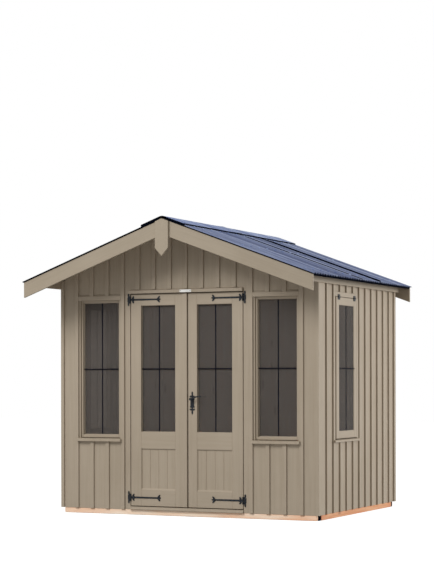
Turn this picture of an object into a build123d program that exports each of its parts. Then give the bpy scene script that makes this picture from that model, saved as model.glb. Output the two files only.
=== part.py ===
"""Timber summerhouse with a pair of glazed doors, tall windows and a corrugated gable roof.

Frame: millimetres, +X to the right, +Y to the back (the doors face -Y), +Z up.
The origin is on the ground, under the centre of the overall box.
"""
import os
from math import cos, radians, sin, tan

from build123d import *

# House body
body_width = 2410.0  # over the corner boards
body_depth = 1855.0  # front cover strips to back cover strips
cover_thickness = 14.0  # cover strips and corner boards stand this far off the boards
board_thickness = 14.0
wall_thickness = 58.0  # boards and studs together
front_corner_width = 130.0  # of the corner boards, along the side walls
back_corner_width = 40.0
head_to_eaves = 130.0  # door head up to the top of a side wall's outer face

# Bearers and floor
bearer_height = 45.0
bearer_width = 90.0  # of the side bearers
end_bearer_width = 34.0  # of the front and back bearers
side_bearer_gap = 40.0  # between the side bearers and the front and back ones
bearer_inset = 16.0  # behind the cover strips at the front and back
joist_width = 45.0
joist_count = 3
floor_thickness = 16.0
floor_clearance = 2.0
joint_gap = 0.3  # hairline where two solids of one node would touch

# Doorway
door_opening_width = 1060.0  # between the jambs
jamb_width = 52.0
threshold_height = 25.0
threshold_nose = 6.0
threshold_step = 13.0  # height of the nose
threshold_set_back = 9.0  # from the nose to the upper step's face
threshold_fall = 3.0  # of the nose's top
stop_width = 18.0
stop_depth = 13.0
head_drip_height = 33.0
head_drip_depth = 26.0

# Door leaves
leaf_height = 1796.0
leaf_thickness = 40.0
leaf_side_gap = 6.0  # at the jambs
leaf_end_gap = 7.0  # at the head and the threshold
meeting_gap = 8.0
meeting_offset = 16.0  # meeting line, right of the doorway's centre
hinge_stile = 98.0
top_rail = 95.0
lock_rail = 145.0
bottom_rail = 138.0
panel_height = 348.0
panel_thickness = 14.0
panel_recess = 12.0
panel_board_count = 4
groove_width = 6.0
pane_width = 324.0
glass_thickness = 4.0
door_glass_recess = 27.0
meeting_strip_width = 44.0
meeting_strip_thickness = 10.0

# Door hinges
pin_radius = 4.0
pin_clearance = 0.05
knuckle_radius = 7.0
knuckle_length = 16.0
barrel_length = 28.0
barrel_gap = 0.5
hinge_plate_thickness = 4.0
hinge_end_offset = 44.0  # upper hinge below the leaf's top
hinge_foot_offset = 71.0  # lower hinge above the leaf's bottom
strap_length = 282.0  # pin's axis to the tips of the tail
strap_height = 16.0
strap_tail_share = 0.8  # of the strap's height where the tail begins
petal_length = 36.0
petal_width = 16.0
petal_corners = 12
arm_petal_start = 15.0  # from the pin's axis
arm_petal_lean = 58.0  # degrees off the strap
tail_petal_lean = 48.0
strap_boss_radius = 13.0  # round swell between the arms
jamb_plate_height = 107.0
jamb_plate_width = 20.0
jamb_plate_start = 8.0  # from the pin's axis
jamb_plate_neck = 10.0
jamb_petal_length = 33.0

# Door handle
handle_from_meeting = 39.0  # spindle from the right leaf's meeting edge
handle_height = 908.0  # spindle above the leaf's bottom
handle_plate_height = 193.0
handle_plate_width = 34.0
handle_plate_thickness = 4.0
handle_body_height = 78.0
handle_neck_width = 14.0
handle_collar_width = 42.0
handle_collar_height = 12.0
handle_spear_length = 36.0
handle_spear_width = 14.0
handle_petal_length = 27.0
handle_petal_width = 14.0
handle_petal_droop = 22.0  # degrees
rose_radius = 13.0
rose_thickness = 7.0
spindle_above_centre = 32.0
spindle_radius = 7.0
spindle_clearance = 0.05
leaf_bore_radius = 10.0
lever_length = 82.0  # spindle's axis to the knob
lever_rise = 21.0
lever_bend_share = 0.52  # of the length, to the bend
lever_bend_radius = 45.0
lever_radius = 5.5
lever_facets = 8
lever_knob_radius = 7.5
lever_knob_length = 13.0
lever_knob_chamfer = 3.0
lever_hub_radius = 11.0
lever_hub_length = 17.0
lever_standoff = 38.0

# Front windows
cover_strip_width = 36.0  # one strip stands between the jamb and the window
outer_pier_width = 145.0  # wall between the window and the corner
front_sill_level = 648.0  # top of the sill
front_frame_width = 16.0
front_frame_head = 50.0
front_head_cover = 38.0  # height of the cover board over the sash
front_stile = 16.0
front_top_rail = 18.0
front_bottom_rail = 24.0
front_foot_gap = 5.0  # under the sash
front_sash_recess = 16.0  # behind the boards
front_sash_thickness = 40.0
front_glass_recess = 28.0  # behind the sash's face
sill_thickness = 27.0
sill_fall = 6.0  # from the cover strips' face to the nose
sill_drip_width = 6.0
sill_drip_inset = 7.0  # behind the nose
front_sill_horn = 8.5  # past each side of the frame
front_sill_nose = 22.0  # past the cover strips

# Side windows
side_window_offset = 626.0  # window's centre behind the front cover strips
side_head_drop = 3.0  # frame's top below the door head
side_sill_thickness = 22.0
side_sash_width = 471.0
side_sash_height = 1178.0
side_top_gap = 4.0  # over the sash
side_foot_gap = 8.0  # under the sash
side_stile = 62.0
side_top_rail = 61.0
side_bottom_rail = 58.0
side_sash_thickness = 40.0
side_frame_width = 24.0
side_frame_head = 39.0
side_glass_recess = 6.0
side_sill_horn = 36.0
side_sill_nose = 16.0
window_hinge_spacing = 360.0  # centre to centre
window_hinge_width = 46.0
window_hinge_height = 44.0
window_hinge_thickness = 4.0
window_hinge_knuckle = 5.0

# Roof
roof_pitch = 20.25
front_overhang = 414.0  # front cover strips to the bargeboard's face
back_overhang = 60.0
deck_thickness = 14.0
fascia_thickness = 20.0
fascia_height = 63.0
barge_thickness = 20.0
barge_depth = 130.0  # measured plumb
barge_end_reach = 99.0  # past the fascia
finial_width = 121.0
finial_height = 306.0
finial_point_height = 66.0
ridge_beam_width = 45.0
ridge_beam_height = 95.0
beam_clearance = 1.0
sheet_thickness = 3.0
sheet_wave_height = 12.0
sheet_wave_pitch = 55.0
wave_flank_share = 0.32  # of a half wave, from its middle line to its flat
sheet_eave_reach = 104.0  # past the fascia
sheet_verge_reach = 12.0  # past the bargeboards
seat_gap = 0.3
cap_wing = 192.0
cap_thickness = 4.0
cap_round = 60.0
cut_overrun = 5.0

# Planes and levels that the pieces share
x_side = body_width / 2
x_wall = x_side - cover_thickness
x_wall_inner = x_wall - wall_thickness
x_front_end = x_wall - board_thickness
front_reach = front_overhang + barge_thickness
back_reach = back_overhang + barge_thickness
y_front = (front_reach - back_reach - body_depth) / 2
y_back = y_front + body_depth
y_board = y_front + cover_thickness
y_front_inner = y_board + wall_thickness
y_back_board = y_back - cover_thickness
y_back_inner = y_back_board - wall_thickness
y_barge = y_front - front_overhang
y_back_barge = y_back + back_overhang
y_deck_front = y_barge + barge_thickness
y_deck_back = y_back_barge - barge_thickness
deck_length = y_deck_back - y_deck_front

z_leaf = bearer_height + threshold_height + leaf_end_gap
z_head = z_leaf + leaf_height + leaf_end_gap
z_wall_top = z_head + head_to_eaves
slope = tan(radians(roof_pitch))
deck_plumb = deck_thickness / cos(radians(roof_pitch))
z_ridge_under = z_wall_top + x_wall * slope
z_ridge = z_ridge_under + deck_plumb
x_fascia = x_side + fascia_thickness
x_barge_end = x_fascia + barge_end_reach
x_sheet_end = x_fascia + sheet_eave_reach
sheet_ridge_gap = cap_round * slope  # the sheets start where the cap's round ends

x_opening = door_opening_width / 2
x_jamb = x_opening + jamb_width
x_leaf = x_opening - leaf_side_gap
x_pin = x_opening - leaf_side_gap / 2
y_pin = y_board - knuckle_radius
y_leaf_back = y_board + leaf_thickness
x_window_inner = x_jamb + cover_strip_width
x_window_outer = x_front_end - outer_pier_width
x_window = (x_window_inner + x_window_outer) / 2
front_window_width = x_window_outer - x_window_inner
y_window = y_front + side_window_offset
side_frame_outer = side_sash_width + 2 * side_frame_width
z_side_frame_top = z_head - side_head_drop
z_side_head = z_side_frame_top - side_frame_head
z_side_sash_top = z_side_head - side_top_gap
z_side_sash_foot = z_side_sash_top - side_sash_height
side_sill_level = z_side_sash_foot - side_foot_gap

LEFT = -1
RIGHT = 1
SIDES = {"left": LEFT, "right": RIGHT}
ALIGN_MIN = (Align.MIN, Align.MIN, Align.MIN)


def save(part, name):
    """Label one finished piece and write its file."""
    part.label = name
    export_step(part, f"parts/{name}.step")


def block(x0, x1, y0, y1, z0, z1, mode=Mode.ADD):
    """Add a rectangular block between two corners to the part being built."""
    with Locations((min(x0, x1), min(y0, y1), min(z0, z1))):
        Box(abs(x1 - x0), abs(y1 - y0), abs(z1 - z0), align=ALIGN_MIN, mode=mode)


def across(y):
    """Return the vertical plane at y that faces the front, with its x to the right and y up."""
    return Plane(origin=(0, y, 0), x_dir=(1, 0, 0), z_dir=(0, -1, 0))


def roof_under(x):
    """Return the height of the roof boards' underside at a distance x from the ridge."""
    return z_ridge_under - abs(x) * slope


def roof_top(x):
    """Return the height of the roof boards' upper face at a distance x from the ridge."""
    return z_ridge - abs(x) * slope


os.makedirs("parts", exist_ok=True)

# Bearers: the front and back ones run through, the side ones stop short of them
with BuildPart() as bearers:
    y_front_bearer = y_front + bearer_inset
    y_back_bearer = y_back - bearer_inset
    block(-x_front_end, x_front_end, y_front_bearer, y_front_bearer + end_bearer_width, 0, bearer_height)
    block(-x_front_end, x_front_end, y_back_bearer, y_back_bearer - end_bearer_width, 0, bearer_height)
    side_bearer_set = end_bearer_width + side_bearer_gap
    for side in SIDES.values():
        block(side * x_wall, side * (x_wall - bearer_width),
              y_front_bearer + side_bearer_set, y_back_bearer - side_bearer_set, 0, bearer_height)
save(bearers.part, "bearers")

# Floor joists between the front and back bearers
with BuildPart() as joists:
    joist_spacing = 2 * (x_wall - bearer_width) / (joist_count + 1)
    joist_length = y_back_bearer - y_front_bearer - 2 * end_bearer_width - 2 * joint_gap
    with GridLocations(joist_spacing, 1, joist_count, 1):
        with Locations((0, (y_front_bearer + y_back_bearer) / 2, bearer_height / 2)):
            Box(joist_width, joist_length, bearer_height)
save(joists.part, "floor_joists")

# Floor boards inside the walls
with BuildPart() as floor:
    block(-x_wall_inner + floor_clearance, x_wall_inner - floor_clearance,
          y_front_inner + floor_clearance, y_back_inner - floor_clearance,
          bearer_height, bearer_height + floor_thickness)
save(floor.part, "floor")

# Front wall beside the doorway: piers and an apron round each window, open to the gable above
for name, side in SIDES.items():
    with BuildPart() as front_wall:
        block(side * x_jamb, side * x_front_end, y_board, y_front_inner, bearer_height, z_head)
        half = front_window_width / 2
        block(side * (x_window - half), side * (x_window + half),
              y_board - cut_overrun, y_front_inner + cut_overrun,
              front_sill_level - sill_thickness, z_head + cut_overrun, mode=Mode.SUBTRACT)
    save(front_wall.part, f"front_wall_{name}")

# Gable over the doors and windows, notched for the ridge beam
z_beam_top = roof_under(ridge_beam_width / 2)
z_beam = z_beam_top - ridge_beam_height
with BuildPart() as front_gable:
    with BuildSketch(across(y_board)):
        with BuildLine():
            Polyline((-x_front_end, z_head), (x_front_end, z_head), (x_front_end, roof_under(x_front_end)),
                     (0, z_ridge_under), (-x_front_end, roof_under(x_front_end)), close=True)
        make_face()
    extrude(amount=-wall_thickness)
    notch = ridge_beam_width / 2 + beam_clearance
    block(-notch, notch, y_board - cut_overrun, y_front_inner + cut_overrun,
          z_beam, z_ridge + cut_overrun, mode=Mode.SUBTRACT)
save(front_gable.part, "front_gable")

# Back wall, plain from the bearer to the roof
with BuildPart() as back_wall:
    with BuildSketch(across(y_back_inner)):
        with BuildLine():
            Polyline((-x_front_end, bearer_height), (x_front_end, bearer_height),
                     (x_front_end, roof_under(x_front_end)), (0, z_ridge_under),
                     (-x_front_end, roof_under(x_front_end)), close=True)
        make_face()
    extrude(amount=-wall_thickness)
    block(-notch, notch, y_back_inner - cut_overrun, y_back_board + cut_overrun,
          z_beam, z_ridge + cut_overrun, mode=Mode.SUBTRACT)
save(back_wall.part, "back_wall")

# Side walls between the front and back walls, bevelled under the roof, each with a window
for name, side in SIDES.items():
    with BuildPart() as side_wall:
        with BuildSketch(across(y_front_inner)):
            with BuildLine():
                Polyline((side * x_wall_inner, bearer_height), (side * x_wall, bearer_height),
                         (side * x_wall, roof_under(x_wall)), (side * x_wall_inner, roof_under(x_wall_inner)),
                         close=True)
            make_face()
        extrude(amount=y_front_inner - y_back_inner)
        block(side * (x_wall_inner - cut_overrun), side * (x_wall + cut_overrun),
              y_window - side_frame_outer / 2, y_window + side_frame_outer / 2,
              side_sill_level - side_sill_thickness, z_side_frame_top, mode=Mode.SUBTRACT)
    save(side_wall.part, f"{name}_wall")

# Corner boards: each laps the end of a front or back wall and the face of a side wall
with BuildPart() as corner_boards:
    lap = cover_thickness + wall_thickness
    for side in SIDES.values():
        for y_edge, inward, width in ((y_front, 1, front_corner_width), (y_back, -1, back_corner_width)):
            with BuildSketch(Plane.XY.offset(bearer_height)):
                with BuildLine():
                    Polyline((side * x_front_end, y_edge), (side * x_side, y_edge),
                             (side * x_side, y_edge + inward * width),
                             (side * x_wall, y_edge + inward * width),
                             (side * x_wall, y_edge + inward * lap),
                             (side * x_front_end, y_edge + inward * lap), close=True)
                make_face()
            extrude(amount=roof_under(x_side) - bearer_height)
save(corner_boards.part, "corner_boards")

# Door jambs, stops, threshold and drip board
for name, side in SIDES.items():
    with BuildPart() as jamb:
        block(side * x_opening, side * x_jamb, y_board, y_front_inner, bearer_height, z_head)
    save(jamb.part, f"{name}_door_jamb")

z_threshold = bearer_height + threshold_height
with BuildPart() as door_stops:
    y_stop = y_front_inner - stop_depth
    for side in SIDES.values():
        block(side * x_opening, side * (x_opening - stop_width), y_stop, y_front_inner, z_threshold, z_head)
    stop_run = x_opening - stop_width - joint_gap
    block(-stop_run, stop_run, y_stop, y_front_inner, z_head - stop_width, z_head)
save(door_stops.part, "door_stops")

with BuildPart() as threshold:
    with BuildSketch(Plane.YZ.offset(-x_opening)):
        with BuildLine():
            y_nose = y_front - threshold_nose
            z_step = bearer_height + threshold_step
            Polyline((y_front_inner, bearer_height), (y_nose, bearer_height), (y_nose, z_step - threshold_fall),
                     (y_nose + threshold_set_back, z_step), (y_nose + threshold_set_back, z_threshold),
                     (y_front_inner, z_threshold), close=True)
        make_face()
    extrude(amount=door_opening_width)
save(threshold.part, "threshold")

with BuildPart() as door_head:
    with BuildSketch(Plane.YZ.offset(-x_opening)):
        with BuildLine():
            Polyline((y_board, z_head), (y_board - head_drip_depth, z_head),
                     (y_board - head_drip_depth, z_head + head_drip_height - cover_thickness / 2),
                     (y_board, z_head + head_drip_height), close=True)
        make_face()
    extrude(amount=door_opening_width)
save(door_head.part, "door_head")

# Front window frames with a cover board at the head, and their sashes
y_sash = y_board + front_sash_recess
half = front_window_width / 2
sash_half = half - front_frame_width
z_sash_top = z_head - front_frame_head
z_sash_foot = front_sill_level + front_foot_gap
for name, side in SIDES.items():
    with BuildPart() as front_frame:
        block(side * (x_window - half), side * (x_window + half), y_board, y_front_inner,
              front_sill_level, z_head)
        block(side * (x_window - sash_half), side * (x_window + sash_half),
              y_board - cut_overrun, y_front_inner + cut_overrun,
              front_sill_level - cut_overrun, z_sash_top, mode=Mode.SUBTRACT)
        block(side * (x_window - half), side * (x_window + half), y_front, y_board,
              z_sash_top, z_sash_top + front_head_cover)
    save(front_frame.part, f"front_{name}_window_frame")

    with BuildPart() as front_sash:
        block(side * (x_window - sash_half), side * (x_window + sash_half),
              y_sash, y_sash + front_sash_thickness, z_sash_foot, z_sash_top)
        pane_half = sash_half - front_stile
        block(side * (x_window - pane_half), side * (x_window + pane_half),
              y_sash - cut_overrun, y_sash + front_sash_thickness + cut_overrun,
              z_sash_foot + front_bottom_rail, z_sash_top - front_top_rail, mode=Mode.SUBTRACT)
    save(front_sash.part, f"front_{name}_sash")

# Side window frames and top-hung sashes, whose faces stand level with the cover strips and the frame's head
side_half = side_frame_outer / 2
side_sash_half = side_sash_width / 2
for name, side in SIDES.items():
    with BuildPart() as side_frame:
        block(side * x_wall_inner, side * x_wall, y_window - side_half, y_window + side_half,
              side_sill_level, z_side_frame_top)
        block(side * (x_wall_inner - cut_overrun), side * (x_wall + cut_overrun),
              y_window - side_sash_half, y_window + side_sash_half,
              side_sill_level - cut_overrun, z_side_head, mode=Mode.SUBTRACT)
        block(side * x_wall, side * x_side, y_window - side_half, y_window + side_half,
              z_side_head, z_side_frame_top)
    save(side_frame.part, f"{name}_window_frame")

    with BuildPart() as side_sash:
        block(side * (x_side - side_sash_thickness), side * x_side,
              y_window - side_sash_half, y_window + side_sash_half, z_side_sash_foot, z_side_sash_top)
        side_pane_half = side_sash_half - side_stile
        block(side * (x_side - side_sash_thickness - cut_overrun), side * (x_side + cut_overrun),
              y_window - side_pane_half, y_window + side_pane_half,
              z_side_sash_foot + side_bottom_rail, z_side_sash_top - side_top_rail, mode=Mode.SUBTRACT)
    save(side_sash.part, f"{name}_sash")

# Panes of the four windows
with BuildPart() as window_panes:
    y_pane = y_sash + front_glass_recess
    x_pane = x_side - side_glass_recess
    for side in SIDES.values():
        block(side * (x_window - pane_half), side * (x_window + pane_half), y_pane, y_pane + glass_thickness,
              z_sash_foot + front_bottom_rail, z_sash_top - front_top_rail)
        block(side * x_pane, side * (x_pane - glass_thickness),
              y_window - side_pane_half, y_window + side_pane_half,
              z_side_sash_foot + side_bottom_rail, z_side_sash_top - side_top_rail)
save(window_panes.part, "window_panes")

# Window sills: a board through the wall, and a longer nose that falls outwards over a drip groove


def sill_section(wall, flat, nose, level, thickness):
    """Return a sill's outer section, as distances outwards and heights: flat, fall, nose and drip."""
    foot = level - thickness
    drip = nose - sill_drip_inset
    return ((wall, level), (flat, level), (nose, level - sill_fall), (nose, foot), (drip, foot),
            (drip - sill_drip_width / 2, foot + sill_drip_width / 2), (drip - sill_drip_width, foot),
            (wall, foot))


with BuildPart() as window_sills:
    for side in SIDES.values():
        horned = half + front_sill_horn
        with BuildSketch(Plane.YZ.offset(side * x_window - horned)):
            with BuildLine():
                section = sill_section(-y_board, -y_front, front_sill_nose - y_front, front_sill_level,
                                       sill_thickness)
                Polyline(*[(-out, level) for out, level in section], close=True)
            make_face()
        extrude(amount=2 * horned)
        block(side * (x_window - half), side * (x_window + half), y_board, y_front_inner,
              front_sill_level - sill_thickness, front_sill_level)
        horned = side_half + side_sill_horn
        with BuildSketch(across(y_window - horned)):
            with BuildLine():
                section = sill_section(x_wall, x_side, x_side + side_sill_nose, side_sill_level,
                                       side_sill_thickness)
                Polyline(*[(side * out, level) for out, level in section], close=True)
            make_face()
        extrude(amount=-2 * horned)
        block(side * x_wall_inner, side * x_wall, y_window - side_half, y_window + side_half,
              side_sill_level - side_sill_thickness, side_sill_level)
save(window_sills.part, "window_sills")

# Black hinges at the heads of the side sashes
with BuildPart() as window_hinges:
    for side in SIDES.values():
        for along in (-window_hinge_spacing / 2, window_hinge_spacing / 2):
            y_hinge = y_window + along
            block(side * x_side, side * (x_side + window_hinge_thickness),
                  y_hinge - window_hinge_width / 2, y_hinge + window_hinge_width / 2,
                  z_side_sash_top - window_hinge_height / 2, z_side_sash_top + window_hinge_height / 2)
            with Locations((side * (x_side + window_hinge_knuckle), y_hinge, z_side_sash_top)):
                Cylinder(window_hinge_knuckle, window_hinge_width, rotation=(90, 0, 0))
save(window_hinges.part, "window_hinges")

# Ridge beam under the roof boards
with BuildPart() as ridge_beam:
    block(-ridge_beam_width / 2, ridge_beam_width / 2, y_deck_front, y_deck_back, z_beam, z_beam_top)
save(ridge_beam.part, "ridge_beam")

# Roof boards, fascias and bargeboards of each slope
for name, side in SIDES.items():
    with BuildPart() as roof_deck:
        with BuildSketch(across(y_deck_front)):
            with BuildLine():
                Polyline((0, z_ridge_under), (side * x_fascia, roof_under(x_fascia)),
                         (side * x_fascia, roof_top(x_fascia)), (0, z_ridge), close=True)
            make_face()
        extrude(amount=-deck_length)
    save(roof_deck.part, f"{name}_roof_deck")

    with BuildPart() as fascia:
        z_fascia = roof_under(x_fascia) - fascia_height
        with BuildSketch(across(y_deck_front)):
            with BuildLine():
                Polyline((side * x_side, z_fascia), (side * x_fascia, z_fascia),
                         (side * x_fascia, roof_under(x_fascia)), (side * x_side, roof_under(x_side)),
                         close=True)
            make_face()
        extrude(amount=-deck_length)
    save(fascia.part, f"{name}_fascia")

    for end, y_face in (("front", y_barge), ("back", y_deck_back)):
        with BuildPart() as barge:
            with BuildSketch(across(y_face)):
                with BuildLine():
                    Polyline((0, z_ridge), (side * x_barge_end, roof_top(x_barge_end)),
                             (side * x_barge_end, roof_top(x_barge_end) - barge_depth),
                             (0, z_ridge - barge_depth), close=True)
                make_face()
            extrude(amount=-barge_thickness)
        save(barge.part, f"{end}_{name}_bargeboard")

# Finials over the bargeboards' meeting joints, front and back
with BuildPart() as finials:
    finial_half = finial_width / 2
    z_finial = z_ridge - finial_height
    for y_face in (y_barge - barge_thickness, y_back_barge):
        with BuildSketch(across(y_face)):
            with BuildLine():
                Polyline((0, z_ridge), (finial_half, roof_top(finial_half)),
                         (finial_half, z_finial + finial_point_height), (0, z_finial),
                         (-finial_half, z_finial + finial_point_height), (-finial_half, roof_top(finial_half)),
                         close=True)
            make_face()
        extrude(amount=-barge_thickness)
save(finials.part, "finials")

# Corrugated roofing: one wave profile carried down each slope
sheet_span = y_back_barge - y_barge + 2 * sheet_verge_reach
wave_count = round(sheet_span / sheet_wave_pitch)
half_wave = sheet_span / wave_count / 2


def wave_points():
    """Return the corners of the wave from verge to verge: along the ridge, and above the trough."""
    points = [(-sheet_span / 2, sheet_wave_height / 2)]
    for step in range(2 * wave_count):
        start = step * half_wave - sheet_span / 2
        level = sheet_wave_height if step % 2 else 0
        points.append((start + half_wave * wave_flank_share, level))
        points.append((start + half_wave * (1 - wave_flank_share), level))
    points.append((sheet_span / 2, sheet_wave_height / 2))
    return points


for name, side in SIDES.items():
    pitch = radians(roof_pitch)
    down = Vector(side * cos(pitch), 0, -sin(pitch))
    ridge_start = Vector(0, (y_barge + y_back_barge) / 2, z_ridge) + down * sheet_ridge_gap
    with BuildPart() as roof_sheet:
        with BuildSketch(Plane(origin=ridge_start, x_dir=(0, side, 0), z_dir=down)):
            with BuildLine():
                under = [(along, seat_gap + rise) for along, rise in wave_points()]
                over = [(along, rise + sheet_thickness) for along, rise in under]
                Polyline(*under, *reversed(over), close=True)
            make_face()
        extrude(amount=x_sheet_end / cos(pitch) - sheet_ridge_gap)
    save(roof_sheet.part, f"{name}_roof_sheet")

# Ridge cap: a rounded angle that sits on the crests of both slopes
cap_rise = (2 * seat_gap + sheet_wave_height + sheet_thickness) / cos(radians(roof_pitch))
with BuildPart() as ridge_cap:
    with BuildSketch(across(y_barge - sheet_verge_reach)):
        with BuildLine():
            z_cap = z_ridge + cap_rise
            cap_plumb = cap_thickness / cos(radians(roof_pitch))
            under = FilletPolyline((-cap_wing, z_cap - cap_wing * slope), (0, z_cap),
                                   (cap_wing, z_cap - cap_wing * slope), radius=cap_round)
            over = FilletPolyline((-cap_wing, z_cap + cap_plumb - cap_wing * slope), (0, z_cap + cap_plumb),
                                  (cap_wing, z_cap + cap_plumb - cap_wing * slope), radius=cap_round)
            Line(under @ 0, over @ 0)
            Line(under @ 1, over @ 1)
        make_face()
    extrude(amount=-sheet_span)
save(ridge_cap.part, "ridge_cap")

# Door leaves: stiles and rails round a pane and a boarded panel
x_meeting_left = meeting_offset - meeting_gap / 2
x_meeting_right = meeting_offset + meeting_gap / 2
leaf_edges = {"left": (-x_leaf, x_meeting_left), "right": (x_leaf, x_meeting_right)}
z_panel = z_leaf + bottom_rail
z_pane = z_panel + panel_height + lock_rail
z_pane_top = z_leaf + leaf_height - top_rail
x_spindle = x_meeting_right + handle_from_meeting
z_spindle = z_leaf + handle_height
for name, (x_hinge_edge, x_meeting_edge) in leaf_edges.items():
    inward = -SIDES[name]
    x_pane_outer = x_hinge_edge + inward * hinge_stile
    x_pane_inner = x_pane_outer + inward * pane_width
    with BuildPart() as leaf:
        block(x_hinge_edge, x_meeting_edge, y_board, y_leaf_back, z_leaf, z_leaf + leaf_height)
        for z_low, z_high in ((z_panel, z_panel + panel_height), (z_pane, z_pane_top)):
            block(x_pane_outer, x_pane_inner, y_board - cut_overrun, y_leaf_back + cut_overrun,
                  z_low, z_high, mode=Mode.SUBTRACT)
        if name == "right":
            with Locations((x_spindle, y_board + leaf_thickness / 2, z_spindle)):
                Cylinder(leaf_bore_radius, leaf_thickness + cut_overrun, rotation=(90, 0, 0),
                         mode=Mode.SUBTRACT)
    save(leaf.part, f"{name}_door_leaf")

    with BuildPart() as door_panel:
        y_panel = y_board + panel_recess
        block(x_pane_outer, x_pane_inner, y_panel, y_panel + panel_thickness, z_panel, z_panel + panel_height)
        board_width = pane_width / panel_board_count
        for seam in range(1, panel_board_count):
            x_seam = x_pane_outer + inward * seam * board_width
            with BuildSketch(Plane.XY.offset(z_panel)):
                with BuildLine():
                    Polyline((x_seam - groove_width / 2, y_panel), (x_seam + groove_width / 2, y_panel),
                             (x_seam, y_panel + groove_width / 2), close=True)
                make_face()
            extrude(amount=panel_height, mode=Mode.SUBTRACT)
    save(door_panel.part, f"{name}_door_panel")

    with BuildPart() as door_pane:
        y_glass = y_board + door_glass_recess
        block(x_pane_outer, x_pane_inner, y_glass, y_glass + glass_thickness, z_pane, z_pane_top)
    save(door_pane.part, f"{name}_door_pane")

# Cover strip on the left leaf's meeting edge
with BuildPart() as meeting_strip:
    block(x_meeting_left - meeting_strip_width, x_meeting_left, y_board - meeting_strip_thickness, y_board,
          z_leaf, z_leaf + leaf_height)
save(meeting_strip.part, "meeting_strip")

# Tee hinges: a strap with petals at its arms and tail on the leaf, a petal-ended plate with the pin on the jamb


def petal(x, z, lean, length, width):
    """Add a petal to the sketch: a faceted ellipse that starts at a point and leans up from the sketch's x."""
    turns = [radians(360 * corner / petal_corners) for corner in range(petal_corners)]
    outline = [(length / 2 * (1 + cos(turn)), width / 2 * sin(turn)) for turn in turns]
    with Locations(Location((x, z), lean)):
        Polygon(*outline, align=None)


hinge_levels = (z_leaf + hinge_foot_offset, z_leaf + leaf_height - hinge_end_offset)
tail_root = strap_length - petal_length * cos(radians(tail_petal_lean))
for name, side in SIDES.items():
    x_axis = side * x_pin
    inward_turn = 180 if side == RIGHT else 0
    with BuildPart() as door_straps:
        for z_hinge in hinge_levels:
            with BuildSketch(across(y_board)):
                with BuildLine():
                    root_half = strap_height / 2
                    tail_half = root_half * strap_tail_share
                    Polyline((x_axis, z_hinge + root_half),
                             (x_axis - side * (tail_root + tail_half), z_hinge + tail_half),
                             (x_axis - side * (tail_root + tail_half), z_hinge - tail_half),
                             (x_axis, z_hinge - root_half), close=True)
                make_face()
                with Locations((x_axis - side * (arm_petal_start + strap_boss_radius), z_hinge)):
                    Circle(strap_boss_radius)
                for start, lean in ((arm_petal_start, arm_petal_lean), (tail_root, tail_petal_lean)):
                    for way in (-1, 1):
                        petal(x_axis - side * start, z_hinge, inward_turn + way * lean, petal_length, petal_width)
            extrude(amount=hinge_plate_thickness)
            with Locations((x_axis, y_pin, z_hinge)):
                Cylinder(knuckle_radius, barrel_length)
                Cylinder(pin_radius + pin_clearance, barrel_length + cut_overrun, mode=Mode.SUBTRACT)
    save(door_straps.part, f"{name}_door_straps")

    with BuildPart() as hinge_plates:
        for z_hinge in hinge_levels:
            with BuildSketch(across(y_board)):
                middle = x_axis + side * (jamb_plate_start + jamb_plate_width / 2)
                petal_start = jamb_plate_height / 2 - jamb_petal_length
                with Locations((middle, z_hinge)):
                    Rectangle(jamb_plate_width, 2 * petal_start)
                    Rectangle(jamb_plate_neck, 2 * petal_start + jamb_petal_length)
                for way in (-1, 1):
                    petal(middle, z_hinge + way * petal_start, way * 90, jamb_petal_length, petal_width)
            extrude(amount=hinge_plate_thickness)
            with Locations((x_axis, y_pin, z_hinge)):
                Cylinder(pin_radius, barrel_length + 2 * (barrel_gap + knuckle_length))
            for way in (-1, 1):
                z_low = z_hinge + way * (barrel_length / 2 + barrel_gap)
                z_high = z_low + way * knuckle_length
                block(x_axis, middle, y_board - hinge_plate_thickness, y_board, z_low, z_high)
                with Locations((x_axis, y_pin, (z_low + z_high) / 2)):
                    Cylinder(knuckle_radius, knuckle_length)
    save(hinge_plates.part, f"{name}_hinge_plates")

# Handle plates on both faces of the right leaf: a collared body with a spear and two petals at each end
z_handle = z_spindle - spindle_above_centre
with BuildPart() as handle_plates:
    for y_face in (y_board, y_leaf_back + handle_plate_thickness):
        with BuildSketch(across(y_face)):
            body_half = handle_body_height / 2
            petal_root = handle_plate_height / 2 - handle_spear_length
            with Locations((x_spindle, z_handle)):
                Rectangle(handle_plate_width, handle_body_height)
                Rectangle(handle_neck_width, 2 * petal_root)
            for way in (-1, 1):
                with Locations((x_spindle, z_handle + way * (body_half - handle_collar_height / 2))):
                    Rectangle(handle_collar_width, handle_collar_height)
                petal(x_spindle, z_handle + way * petal_root, way * 90, handle_spear_length, handle_spear_width)
                for lean in (-handle_petal_droop, 180 + handle_petal_droop):
                    petal(x_spindle, z_handle + way * petal_root, way * lean, handle_petal_length,
                          handle_petal_width)
        extrude(amount=handle_plate_thickness)
    for y_face, outward in ((y_board, -1), (y_leaf_back, 1)):
        with Locations((x_spindle, y_face + outward * rose_thickness / 2, z_spindle)):
            Cylinder(rose_radius, rose_thickness, rotation=(90, 0, 0))
    with Locations((x_spindle, y_board + leaf_thickness / 2, z_spindle)):
        Cylinder(spindle_radius + spindle_clearance, leaf_thickness + 2 * rose_thickness + cut_overrun,
                 rotation=(90, 0, 0), mode=Mode.SUBTRACT)
save(handle_plates.part, "handle_plates")

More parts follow.
